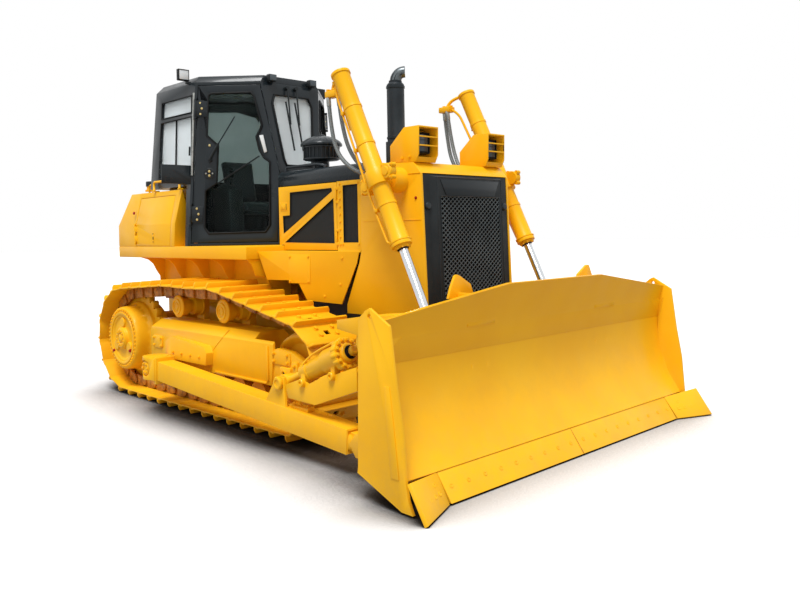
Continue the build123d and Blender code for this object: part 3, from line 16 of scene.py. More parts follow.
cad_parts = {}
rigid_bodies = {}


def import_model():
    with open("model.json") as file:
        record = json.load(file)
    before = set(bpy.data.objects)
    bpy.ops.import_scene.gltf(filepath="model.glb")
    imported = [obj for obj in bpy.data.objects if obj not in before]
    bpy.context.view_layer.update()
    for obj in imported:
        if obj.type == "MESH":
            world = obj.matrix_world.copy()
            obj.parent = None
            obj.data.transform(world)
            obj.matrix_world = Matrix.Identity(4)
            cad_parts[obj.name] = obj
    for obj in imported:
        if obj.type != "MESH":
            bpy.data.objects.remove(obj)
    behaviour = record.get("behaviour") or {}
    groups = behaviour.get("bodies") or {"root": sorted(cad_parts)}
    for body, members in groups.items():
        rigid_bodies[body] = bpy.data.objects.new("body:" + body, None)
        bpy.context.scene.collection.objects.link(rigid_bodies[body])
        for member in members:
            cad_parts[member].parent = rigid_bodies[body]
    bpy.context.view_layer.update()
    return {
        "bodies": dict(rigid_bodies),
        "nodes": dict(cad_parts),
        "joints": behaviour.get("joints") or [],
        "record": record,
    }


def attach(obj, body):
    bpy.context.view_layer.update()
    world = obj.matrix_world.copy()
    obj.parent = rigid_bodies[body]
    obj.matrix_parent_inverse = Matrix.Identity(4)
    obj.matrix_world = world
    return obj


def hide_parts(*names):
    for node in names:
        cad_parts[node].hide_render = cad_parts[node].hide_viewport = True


logging.basicConfig(level=logging.INFO, format="%(message)s")
LOG = logging.getLogger("bulldozer")

Point = tuple[float, float, float]
Flat = tuple[float, float]
Piece = bpy.types.Object
ORIGIN: Point = (0, 0, 0)
UP: Point = (0, 0, 1)
OUT: Point = (0, -1, 0)
SMOOTH_BELOW = 32.0
MERGE_GAP = 1e-5
FLAT_WITHIN = math.radians(0.5)
ROUNDING_STEPS = 2
ROUNDED_ABOVE = math.radians(35)
BEND_STEPS = 6
HOSE_STEPS = 8
BEAD_RING = 2
PIPE_RING = 3
WASHER_SHARE = 0.25
WASHER_WIDER = 1.35
WASHER_SIDES = 14
HEAD_INSET = 0.18
HEAD_DISH = 0.08


class Side(Enum):
    """The two sides of the machine, as signs of Y."""

    RIGHT = -1
    LEFT = 1

    @property
    def word(self) -> str:
        """The side's name as bodies and nodes spell it."""
        return self.name.lower()


class Across(Enum):
    """The axis that an outline is extruded along."""

    X = 0
    Y = 1
    Z = 2


# ---------------------------------------------------------------- workshop


def rgb(code: str) -> tuple[float, float, float, float]:
    """Turn a screen colour into the linear one that shaders take.

    Args:
        code: Six hexadecimal digits, red first.

    Returns:
        Red, green, blue and alpha.
    """
    parts = [int(code[n : n + 2], 16) / 255 for n in (0, 2, 4)]
    linear = [c / 12.92 if c <= 0.04045 else ((c + 0.055) / 1.055) ** 2.4 for c in parts]
    return (linear[0], linear[1], linear[2], 1.0)


def drop_selection() -> None:
    """Deselect every object."""
    for one in list(bpy.context.selected_objects):
        one.select_set(False)


def pick(*pieces: Piece) -> Piece:
    """Select just these objects and make the first one active.

    Returns:
        The first object.
    """
    drop_selection()
    for one in pieces:
        one.select_set(True)
    bpy.context.view_layer.objects.active = pieces[0]
    return pieces[0]


@contextmanager
def editing(piece: Piece) -> Iterator[None]:
    """Hold an object in edit mode, with its whole mesh selected at the start."""
    pick(piece)
    bpy.ops.object.mode_set(mode="EDIT")
    bpy.ops.mesh.select_all(action="SELECT")
    yield
    bpy.ops.object.mode_set(mode="OBJECT")


def shaped(piece: Piece, kind: str, **settings: object) -> Piece:
    """Give an object a modifier of a kind, with its settings by name, and apply it."""
    pick(piece)
    made = piece.modifiers.new(kind.lower(), kind)
    for key, value in settings.items():
        setattr(made, key, value)
    bpy.ops.object.modifier_apply(modifier=made.name)
    return piece


def settle(piece: Piece) -> Piece:
    """Put an object's place, turn and scale into its mesh."""
    pick(piece)
    bpy.ops.object.transform_apply(location=True, rotation=True, scale=True)
    return piece


def tidy_faces(piece: Piece) -> Piece:
    """Merge doubled points and point every face outwards."""
    with editing(piece):
        bpy.ops.mesh.remove_doubles(threshold=MERGE_GAP)
        bpy.ops.mesh.normals_make_consistent(inside=False)
    return piece


def soften(piece: Piece, width: float) -> Piece:
    """Round an object's sharp edges by a width, where there is one."""
    if not width:
        return piece
    return shaped(
        piece, "BEVEL", width=width, segments=ROUNDING_STEPS, limit_method="ANGLE", angle_limit=ROUNDED_ABOVE)


def block(name: str, low: Point, high: Point, width: float = 0.0) -> Piece:
    """Make a box between two corners, with its edges rounded."""
    middle = [(a + b) / 2 for a, b in zip(low, high)]
    bpy.ops.mesh.primitive_cube_add(size=1, location=middle)
    piece = bpy.context.object
    piece.name = name
    piece.scale = [abs(b - a) for a, b in zip(low, high)]
    return soften(settle(piece), width)


def plate(
        name: str, outline: list[Flat], across: Across, start: float, end: float, width: float = 0.0) -> Piece:
    """Make a plate from its outline.

    Args:
        name: Name of the object.
        outline: Corners in the other two axes, in their order.
        across: The axis along the plate's thickness.
        start: One face of the plate on that axis.
        end: The other face.
        width: Rounding of its edges.

    Returns:
        The plate.
    """
    bpy.ops.mesh.primitive_circle_add(vertices=len(outline), radius=1, fill_type="NGON")
    piece = bpy.context.object
    piece.name = name
    axes = [axis for axis in range(3) if axis != across.value]
    for corner, (a, b) in zip(piece.data.vertices, outline):
        corner.co[axes[0]], corner.co[axes[1]], corner.co[across.value] = a, b, start
    move = [0.0, 0.0, 0.0]
    move[across.value] = end - start
    with editing(piece):
        bpy.ops.mesh.extrude_region_move(TRANSFORM_OT_translate={"value": move})
        bpy.ops.mesh.select_all(action="SELECT")
        bpy.ops.mesh.normals_make_consistent(inside=False)
    return soften(piece, width)


def turned(name: str, profile: list[Flat], steps: int = 32) -> Piece:
    """Turn a closed (radius, height) profile about Z, as on a lathe."""
    bpy.ops.mesh.primitive_circle_add(vertices=len(profile), radius=1, fill_type="NOTHING")
    piece = bpy.context.object
    piece.name = name
    for corner, (radius, height) in zip(piece.data.vertices, profile):
        corner.co = (radius, 0, height)
    with editing(piece):
        bpy.ops.mesh.spin(steps=steps, angle=math.tau, center=ORIGIN, axis=UP)
    return tidy_faces(piece)


def frame_at(place: Point, normal: Point, spin: float = 0.0) -> Matrix:
    """Return the frame that stands on a place with Z along a normal."""
    turn = Vector(normal).to_track_quat("Z", "Y").to_matrix().to_4x4()
    return Matrix.Translation(place) @ turn @ Matrix.Rotation(spin, 4, "Z")


def laid_at(piece: Piece, frame: Matrix) -> Piece:
    """Move a piece made about the origin to a frame, with its place in its mesh."""
    piece.data.transform(frame)
    return piece


def shifted(piece: Piece, *move: float) -> Piece:
    """Move a piece's mesh by X, Y and Z."""
    return laid_at(piece, Matrix.Translation(move))


def aim(piece: Piece, place: Point, normal: Point, spin: float = 0.0) -> Piece:
    """Move an object made at the origin along Z to a place, pointing along a normal."""
    return laid_at(piece, frame_at(place, normal, spin))


def join(name: str, pieces: list[Piece]) -> Piece:
    """Join objects into one mesh under a new name."""
    whole = pick(*pieces)
    if len(pieces) > 1:
        bpy.ops.object.join()
    whole.name = name
    return whole


def twin_of(piece: Piece, frame: Matrix) -> Piece:
    """Copy an object with its own mesh, moved by a frame that may also mirror it."""
    twin = piece.copy()
    twin.data = piece.data.copy()
    twin.data.transform(frame)
    if frame.determinant() < 0:
        twin.data.flip_normals()
    bpy.context.collection.objects.link(twin)
    return twin


def copies(name: str, model: Piece, frames: list[Matrix]) -> Piece:
    """Copy a model to each frame, each copy with its own mesh, and join them.

    Args:
        name: Name of the joined object.
        model: The object to copy, which is removed.
        frames: Where each copy goes.

    Returns:
        The joined copies.
    """
    made = [twin_of(model, frame) for frame in frames]
    bpy.data.objects.remove(model)
    return join(name, made)


def hex_bolt(radius: float, height: float) -> Piece:
    """Make a hexagon bolt head on its washer, standing on the origin."""
    foot = height * WASHER_SHARE
    bpy.ops.mesh.primitive_cylinder_add(
        vertices=6, radius=radius, depth=height - foot, location=(0, 0, foot + (height - foot) / 2))
    head = settle(bpy.context.object)
    with editing(head):
        bpy.ops.mesh.select_all(action="DESELECT")
    for face in head.data.polygons:
        face.select = face.normal.z > 0.9
    bpy.ops.object.mode_set(mode="EDIT")
    bpy.ops.mesh.inset(thickness=radius * HEAD_INSET, depth=height * HEAD_DISH)
    bpy.ops.object.mode_set(mode="OBJECT")
    bpy.ops.mesh.primitive_cylinder_add(
        vertices=WASHER_SIDES, radius=radius * WASHER_WIDER, depth=foot, location=(0, 0, foot / 2))
    return join("bolt", [head, settle(bpy.context.object)])


def round_bolt(radius: float, height: float) -> Piece:
    """Make a low domed screw head, standing on the origin."""
    return turned(
        "screw", [(0, 0), (radius, 0), (radius, height * 0.4), (radius * 0.7, height * 0.85), (0, height)], 10)


def round_line(
        name: str, route: list[Point], radius: float, ring: int, bends: int = 0, closed: bool = False) -> Piece:
    """Lay a round curve along a line of points.

    Args:
        name: Name of the object.
        route: The points that the curve passes or bends near.
        radius: Radius of the round section.
        ring: Fineness of the section.
        bends: Steps between two points of a smooth curve, or none for straight runs.
        closed: Whether the last point joins the first.

    Returns:
        The curve as an object.
    """
    line = bpy.data.curves.new(name, "CURVE")
    line.dimensions = "3D"
    line.bevel_depth = radius
    line.bevel_resolution = ring
    line.use_fill_caps = not closed
    spline = line.splines.new("NURBS" if bends else "POLY")
    spline.points.add(len(route) - 1)
    for spot, place in zip(spline.points, route):
        spot.co = (*place, 1)
    spline.use_cyclic_u = closed
    if bends:
        spline.order_u = 3
        spline.use_endpoint_u = True
        spline.resolution_u = bends
    piece = bpy.data.objects.new(name, line)
    bpy.context.collection.objects.link(piece)
    return piece


def meshed(line: Piece) -> Piece:
    """Turn a curve into a closed mesh of the same name."""
    name = line.name
    pick(line)
    bpy.ops.object.convert(target="MESH")
    piece = bpy.context.object
    piece.name = name
    return tidy_faces(piece)


def pipe(name: str, route: list[Point], radius: float) -> Piece:
    """Make a round pipe along a smooth line that the points pull at."""
    return meshed(round_line(name, route, radius, PIPE_RING, BEND_STEPS))


def strip(name: str, route: list[Point], radius: float, closed: bool = True) -> Piece:
    """Make a round bead along straight runs between points, which may join into a ring."""
    return meshed(round_line(name, route, radius, BEAD_RING, closed=closed))


# ---------------------------------------------------------------- finishes


class Wiring:
    """Adds shader nodes to one material and links them."""

    def __init__(self, name: str) -> None:
        """Start an empty node material with one surface shader."""
        self.material = bpy.data.materials.new(name)
        self.material.use_nodes = True
        self.tree = self.material.node_tree
        self.shader = self.tree.nodes["Principled BSDF"]
        self.where = self.tree.nodes.new("ShaderNodeTexCoord")

    def node(self, kind: str, **values: object) -> bpy.types.Node:
        """Add a node and set its properties and unlinked inputs.

        Args:
            kind: The node's type, without its ShaderNode prefix.
            values: Properties by name, or inputs by name with spaces as underscores.

        Returns:
            The node.
        """
        made = self.tree.nodes.new("ShaderNode" + kind)
        for key, value in values.items():
            if hasattr(made, key):
                setattr(made, key, value)
            else:
                made.inputs[key.replace("_", " ")].default_value = value
        return made

    def link(self, source: bpy.types.NodeSocket, target: bpy.types.NodeSocket) -> None:
        """Join an output to an input."""
        self.tree.links.new(source, target)

    def noise(self, scale: float, detail: float = 4.0, rough: float = 0.55) -> bpy.types.NodeSocket:
        """Return the value of a noise on the object's own coordinates."""
        made = self.node("TexNoise", Scale=scale, Detail=detail, Roughness=rough)
        self.link(self.where.outputs["Object"], made.inputs["Vector"])
        return made.outputs["Fac"]

    def span(
            self, value: bpy.types.NodeSocket, low: float, high: float, to_low: float,
            to_high: float) -> bpy.types.NodeSocket:
        """Map a value from one range to another, held at its ends."""
        made = self.node("MapRange", clamp=True)
        for socket, number in zip(made.inputs[1:5], (low, high, to_low, to_high)):
            socket.default_value = number
        self.link(value, made.inputs["Value"])
        return made.outputs["Result"]

    def mix(self, share: bpy.types.NodeSocket | float, first: object, second: object) -> bpy.types.NodeSocket:
        """Blend two colours, each a colour or the output that gives one."""
        made = self.node("Mix", data_type="RGBA")
        for key, value in ((0, share), (6, first), (7, second)):
            if isinstance(value, bpy.types.NodeSocket):
                self.link(value, made.inputs[key])
            else:
                made.inputs[key].default_value = value
        return made.outputs[2]

    def height(self, strength: float, distance: float, *values: bpy.types.NodeSocket) -> None:
        """Raise the surface by one or more values, one bump after another."""
        before = None
        for value in values:
            bump = self.node("Bump", Strength=strength, Distance=distance)
            self.link(value, bump.inputs["Height"])
            if before is not None:
                self.link(before, bump.inputs["Normal"])
            before = bump.outputs["Normal"]
        self.link(before, self.shader.inputs["Normal"])

    def fill(self, **values: float) -> None:
        """Set the surface shader's own inputs, by name with spaces as underscores."""
        for key, value in values.items():
            self.shader.inputs[key.replace("_", " ")].default_value = value

    def colour(self, share: bpy.types.NodeSocket, first: object, second: object) -> None:
        """Colour the surface with a blend of two colours."""
        self.link(self.mix(share, first, second), self.shader.inputs["Base Color"])

    def patchwork(self, scale: float, detail: float, rough: float, first: str, second: str) -> None:
        """Colour the surface with soft patches of a second colour on a first."""
        self.colour(self.span(self.noise(scale, detail, rough), 0.35, 0.7, 0.0, 1.0), rgb(first), rgb(second))

    def gloss(self, scale: float, detail: float, low: float, high: float) -> None:
        """Let the surface's roughness wander between two values."""
        self.link(self.span(self.noise(scale, detail), 0.3, 0.75, low, high), self.shader.inputs["Roughness"])

    def zed(self) -> bpy.types.NodeSocket:
        """Return the height over the ground."""
        made = self.node("SeparateXYZ")
        self.link(self.where.outputs["Object"], made.inputs["Vector"])
        return made.outputs["Z"]


@dataclass(frozen=True)
class Coating:
    """What every finish has: its material's name, and a slot name, which is not used."""

    name: str
    slot: str


@dataclass(frozen=True)
class Paint(Coating):
    """Sprayed paint on steel: a body colour with soft patches, orange peel and dust low down."""

    colour: str
    patch_colour: str
    dust_colour: str = "B98F55"
    roughness: float = 0.34
    coat: float = 0.04
    peel: float = 0.06
    dust_top: float = 0.9
    dust_share: float = 0.25
    shine: float = 0.2

    def make(self) -> bpy.types.Material:
        """Build the material."""
        wiring = Wiring(self.name)
        patches = wiring.span(wiring.noise(1.7, 5.0), 0.35, 0.7, 0.0, 1.0)
        body = wiring.mix(patches, rgb(self.colour), rgb(self.patch_colour))
        low = wiring.span(wiring.zed(), 0.0, self.dust_top, self.dust_share, 0.0)
        speck = wiring.span(wiring.noise(9.0, 8.0, 0.7), 0.35, 0.75, 0.0, 1.0)
        dust = wiring.node("Math", operation="MULTIPLY")
        wiring.link(low, dust.inputs[0])
        wiring.link(speck, dust.inputs[1])
        wiring.colour(dust.outputs[0], body, rgb(self.dust_colour))
        wiring.gloss(5.0, 6.0, self.roughness - 0.06, self.roughness + 0.12)
        wiring.fill(Specular_IOR_Level=self.shine, Coat_Weight=self.coat, Coat_Roughness=0.12)
        wiring.height(self.peel, 0.002, wiring.noise(260.0, 2.0), wiring.noise(7.0, 3.0))
        return wiring.material


@dataclass(frozen=True)
class Steel(Coating):
    """Bare metal: worn, brushed or plated."""

    colour: str
    patch_colour: str
    roughness: float
    grain: float
    metallic: float = 1.0
    scale: float = 30.0

    def make(self) -> bpy.types.Material:
        """Build the material."""
        wiring = Wiring(self.name)
        wiring.patchwork(self.scale, 6.0, 0.65, self.colour, self.patch_colour)
        wiring.gloss(self.scale * 2, 5.0, self.roughness * 0.8, self.roughness * 1.3)
        wiring.fill(Metallic=self.metallic)
        wiring.height(self.grain, 0.002, wiring.noise(self.scale * 8, 3.0))
        return wiring.material


@dataclass(frozen=True)
class Moulded(Coating):
    """Rubber, plastic or dull black paint with a fine grain."""

    colour: str
    patch_colour: str
    roughness: float = 0.6
    grain: float = 0.15
    scale: float = 220.0
    shine: float = 0.22

    def make(self) -> bpy.types.Material:
        """Build the material."""
        wiring = Wiring(self.name)
        wiring.patchwork(6.0, 5.0, 0.55, self.colour, self.patch_colour)
        wiring.gloss(14.0, 4.0, self.roughness - 0.08, self.roughness + 0.1)
        wiring.fill(Specular_IOR_Level=self.shine)
        wiring.height(self.grain, 0.001, wiring.noise(self.scale, 2.0))
        return wiring.material


@dataclass(frozen=True)
class Glazing(Coating):
    """Tinted safety glass with faint waves and a little dust."""

    tint: str
    clearness: float = 1.0
    dust_colour: str = "E9F2EF"

    def make(self) -> bpy.types.Material:
        """Build the material."""
        wiring = Wiring(self.name)
        haze = wiring.span(wiring.noise(3.0, 5.0), 0.4, 0.8, 0.0, 0.25)
        wiring.colour(haze, rgb(self.tint), rgb(self.dust_colour))
        wiring.fill(Transmission_Weight=self.clearness, Roughness=0.0, IOR=1.15)
        wiring.height(0.02, 0.002, wiring.noise(1.6, 2.0))
        return wiring.material


@dataclass(frozen=True)
class Netting(Coating):
    """Black expanded mesh: rows of small openings with bright rims, seen as a relief; the openings are
    near-black, painted shade of the space behind them.
    """

    cell: float
    bar_colour: str
    hole_colour: str

    def make(self) -> bpy.types.Material:
        """Build the material."""
        wiring = Wiring(self.name)
        cells = wiring.node("TexVoronoi", feature="DISTANCE_TO_EDGE", Scale=1 / self.cell, Randomness=0.0)
        spread = wiring.node("Mapping")
        spread.inputs["Scale"].default_value = (0.35, 1.0, 1.0)
        wiring.link(wiring.where.outputs["Object"], spread.inputs["Vector"])
        wiring.link(spread.outputs["Vector"], cells.inputs["Vector"])
        bars = wiring.span(cells.outputs["Distance"], 0.10, 0.2, 1.0, 0.0)
        wiring.colour(bars, rgb(self.hole_colour), rgb(self.bar_colour))
        wiring.fill(Roughness=0.45, Specular_IOR_Level=0.2)
        wiring.height(0.7, 0.003, bars)
        return wiring.material


@dataclass(frozen=True)
class Braid(Coating):
    """Grey woven sheath of a hose."""

    colour: str = "8E9494"
    gap_colour: str = "3A3F40"

    def make(self) -> bpy.types.Material:
        """Build the material."""
        wiring = Wiring(self.name)
        weave = wiring.node("TexWave", Scale=70.0, Distortion=0.4, bands_direction="DIAGONAL")
        wiring.link(wiring.where.outputs["Object"], weave.inputs["Vector"])
        rows = wiring.span(weave.outputs["Fac"], 0.3, 0.7, 0.0, 1.0)
        wiring.colour(rows, rgb(self.gap_colour), rgb(self.colour))
        wiring.fill(Roughness=0.5, Metallic=0.4)
        wiring.height(0.4, 0.002, rows)
        return wiring.material


@dataclass(frozen=True)
class Weave(Coating):
    """Woven seat cloth."""

    colour: str
    thread_colour: str

    def make(self) -> bpy.types.Material:
        """Build the material."""
        wiring = Wiring(self.name)
        threads = []
        for direction in ("X", "Z"):
            wave = wiring.node("TexWave", Scale=120.0, bands_direction=direction)
            wiring.link(wiring.where.outputs["Object"], wave.inputs["Vector"])
            threads.append(wave.outputs["Fac"])
        crossing = wiring.node("Math", operation="MULTIPLY")
        wiring.link(threads[0], crossing.inputs[0])
        wiring.link(threads[1], crossing.inputs[1])
        wiring.colour(crossing.outputs[0], rgb(self.colour), rgb(self.thread_colour))
        wiring.fill(Roughness=0.85, Sheen_Weight=0.3)
        wiring.height(0.3, 0.001, crossing.outputs[0])
        return wiring.material


class Finish(Enum):
    """Every finish on the machine."""

    YELLOW = Paint("golden_paint", "yellow_paint", "F9BB14", "F2B010")
    TRACK = Paint(
        "track_paint", "yellow_paint", "FABC16", "EBA512", roughness=0.42, dust_share=0.15, dust_top=0.4)
    # Painted shade: the links and pins are yellow paint, coloured a darker orange-brown with darker brown
    # patches for the shade that falls among them. The cutting edges' seam strip uses it too.
    CHAIN = Steel("painted_chain", "yellow_paint", "CF8A22", "7C4A17", 0.5, 0.4, 0.1, 18.0)
    CAB = Paint("cab_paint", "black_paint", "171E22", "1D252A", "6A6A62", 0.3, 0.3, 0.04, 0.5, 0.0, 0.2)
    BLACK = Moulded("dull_black", "black_paint", "1B1F21", "24292B", 0.45, 0.1)
    # Black rubber of the seals and rims. It is also used for black discs and blocks that stand for the shade in
    # holes, slots and gaps (painted shade).
    RUBBER = Moulded("seal_rubber", "black_paint", "0D0F10", "161819", 0.62, 0.2)
    STACK = Moulded("stack_black", "black_paint", "1C2226", "2A3136", 0.42, 0.12, 90.0)
    PIPE = Steel("heated_pipe", "black_paint", "6E7577", "4B5053", 0.35, 0.15, 0.9)
    CHROME = Steel("hard_chrome", "chrome", "DADDE0", "C9CDD1", 0.12, 0.02, 1.0, 8.0)
    BRASS = Steel("plated_bolt", "chrome", "E3D29A", "BDA768", 0.3, 0.05)
    ZINC = Steel("zinc_fitting", "chrome", "B9BBB6", "8E908C", 0.35, 0.08)
    GLASS = Glazing("door_glass_tint", "glass", "A9BBB6")
    # Painted reflection: the cab glass is near-white and only partly clear, so its pale body colour stands for
    # the sky reflected on it.
    PANE = Glazing("cab_glass_tint", "glass", "F2F8FA", 0.42)
    LENS = Moulded("lamp_lens", "glass", "E9EEF0", "DDE4E8", 0.15, 0.3, 60.0)
    # Painted shade: the screen's openings are coloured near-black for the shaded engine bay behind them.
    SCREEN = Netting("engine_screen", "black_paint", 0.006, "23282A", "0A0C0D")
    # Painted highlight: the lattice bars are a lighter grey than the black grille, standing for the highlights
    # on their edges.
    LATTICE = Moulded("lattice_bars", "black_paint", "565D5F", "3E4446", 0.4, 0.1)
    # Painted shade: a near-black finish for sheets and discs that stand for dark depths, behind the grille
    # lattice and inside the exhaust.
    DEPTH = Moulded("dark_depth", "black_paint", "030303", "050505", 0.8, 0.05, 220.0, 0.03)
    DIM_LENS = Moulded("dim_lens", "glass", "4B565C", "39434A", 0.15, 0.2, 60.0, 0.5)
    HOSE = Braid("hose_braid", "black_paint")
    RED = Moulded("red_plug", "yellow_paint", "B5281E", "8F1E17", 0.45, 0.05)
    SEAT = Weave("seat_cloth", "seat_cloth", "3D4448", "596165")
    TRIM = Moulded("cab_trim", "cab_plastic", "33393C", "3D4447", 0.5, 0.25)
    ENGINE = Paint("engine_paint", "engine_grey", "53575A", "414548", "5A4A35", 0.5, 0.05, 0.1)
    WHITE = Moulded("white_mark", "black_paint", "E8EAEA", "DADDDD", 0.4, 0.02)


MATERIALS: dict[Finish, bpy.types.Material] = {}


def dress(piece: Piece, finish: Finish, body: str, smooth: float = SMOOTH_BELOW) -> Piece:
    """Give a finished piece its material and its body.

    Args:
        piece: The piece, already at the origin.
        finish: What it is covered with.
        body: The body that carries it.
        smooth: Edges that turn by less than this many degrees are shaded smooth.

    Returns:
        The same piece.
    """
    if finish not in MATERIALS:
        MATERIALS[finish] = finish.value.make()
    piece.data.materials.clear()
    piece.data.materials.append(MATERIALS[finish])
    if smooth:
        pick(piece)
        bpy.ops.object.shade_smooth_by_angle(angle=math.radians(smooth))
    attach(piece, body)
    LOG.info("%s: %s on %s", piece.name, finish.value.name, body)
    return piece


def both(piece: Piece, finish: Finish, body: str = "chassis", smooth: float = SMOOTH_BELOW) -> None:
    """Finish a piece made for the right side and its mirror image for the left.

    Args:
        piece: The right piece.
        finish: What both are covered with.
        body: The body that carries it, with {} where the side's word goes.
        smooth: Edges that turn by less than this many degrees are shaded smooth.
    """
    name = piece.name
    twin = twin_of(piece, Matrix.Diagonal((1, -1, 1, 1)))
    twin.name = name + "_left"
    piece.name = name + "_right"
    dress(piece, finish, body.format(Side.RIGHT.word), smooth)
    dress(twin, finish, body.format(Side.LEFT.word), smooth)


def bolted(
        name: str, radius: float, height: float, spots: list[Matrix], finish: Finish = Finish.TRACK,
        body: str = "chassis") -> None:
    """Set hexagon bolts on the right and their mirror images on the left.

    Args:
        name: Name of the bolts, without the side.
        radius: Radius of a bolt's head.
        height: Height of a bolt with its washer.
        spots: The frames that the right bolts stand on.
        finish: What they are covered with.
        body: The body that carries them, with {} where the side's word goes.
    """
    both(copies(name, hex_bolt(radius, height), spots), finish, body)


# ---------------------------------------------------------------- tracks


def outward(points: list[Flat], index: int, offset: float) -> Flat:
    """Return one point of a closed clockwise line, moved outward."""
    before, here, after = points[index - 1], points[index], points[(index + 1) % len(points)]
    dx, dz = after[0] - before[0], after[1] - before[1]
    size = math.hypot(dx, dz)
    turn = math.atan2(after[1] - here[1], after[0] - here[0]) - math.atan2(
        here[1] - before[1], here[0] - before[0])
    turn = (turn + math.pi) % math.tau - math.pi
    reach = offset / math.cos(turn / 2)
    return (here[0] - dz / size * reach, here[1] + dx / size * reach)


@dataclass(frozen=True)
class Loop:
    """The closed line that the joints of one track follow, seen from the side."""

    shoes: int = 40
    phase: float = 0.046
    sprocket: Flat = (-2.040, 0.5475)
    idler: Flat = (0.670, 0.480)
    grouser: float = 0.050
    pin_to_plate: float = 0.057
    carriers: Flat = (-1.120, -0.350)
    carrier_pin: float = 1.053
    sag: float = 0.012
    arc_steps: int = 60

    def arc(self, centre: Flat, start: float, sweep: float) -> list[Flat]:
        """Return points of the clockwise arc whose lowest point is a pin over the ground run."""
        radius = centre[1] - self.grouser - self.pin_to_plate
        angles = [start - n / self.arc_steps * sweep for n in range(self.arc_steps + 1)]
        return [(centre[0] + radius * math.cos(a), centre[1] + radius * math.sin(a)) for a in angles]

    def joints(self, offset: float) -> list[Flat]:
        """Return one point for each joint, moved outward by an offset."""
        low, high = (spot[1] * 2 - self.grouser - self.pin_to_plate for spot in (self.idler, self.sprocket))
        fall = math.atan2(low - self.carrier_pin, self.idler[0] - self.carriers[1])
        rise = math.atan2(self.carrier_pin - high, self.carriers[0] - self.sprocket[0])
        path = self.arc(self.sprocket, -math.pi / 2, math.pi - rise)
        path.append((self.carriers[0], self.carrier_pin))
        path.append((sum(self.carriers) / 2, self.carrier_pin - self.sag))
        path.append((self.carriers[1], self.carrier_pin))
        path += self.arc(self.idler, math.pi / 2 + fall, math.pi + fall)
        path.append(path[0])
        lengths = [math.dist(a, b) for a, b in zip(path, path[1:])]
        pitch = sum(lengths) / self.shoes
        points: list[Flat] = []
        walked, goal = 0.0, self.phase
        for a, b, length in zip(path, path[1:], lengths):
            while goal < walked + length - 1e-9 and len(points) < self.shoes:
                share = (goal - walked) / length
                points.append((a[0] + share * (b[0] - a[0]), a[1] + share * (b[1] - a[1])))
                goal += pitch
            walked += length
        return [outward(points, n, offset) for n in range(self.shoes)]

    def frames(self, offset: float, y: float) -> list[tuple[Matrix, float]]:
        """Return a frame for each pitch, X along it and Z outward, with the pitch's length there."""
        base = self.joints(offset)
        made = []
        for n, a in enumerate(base):
            b = base[(n + 1) % self.shoes]
            size = math.dist(a, b)
            ux, uz = (b[0] - a[0]) / size, (b[1] - a[1]) / size
            turn = Matrix(((ux, 0, -uz), (0, 1, 0), (uz, 0, ux))).to_4x4()
            made.append((Matrix.Translation((a[0], y, a[1])) @ turn, size))
        return made


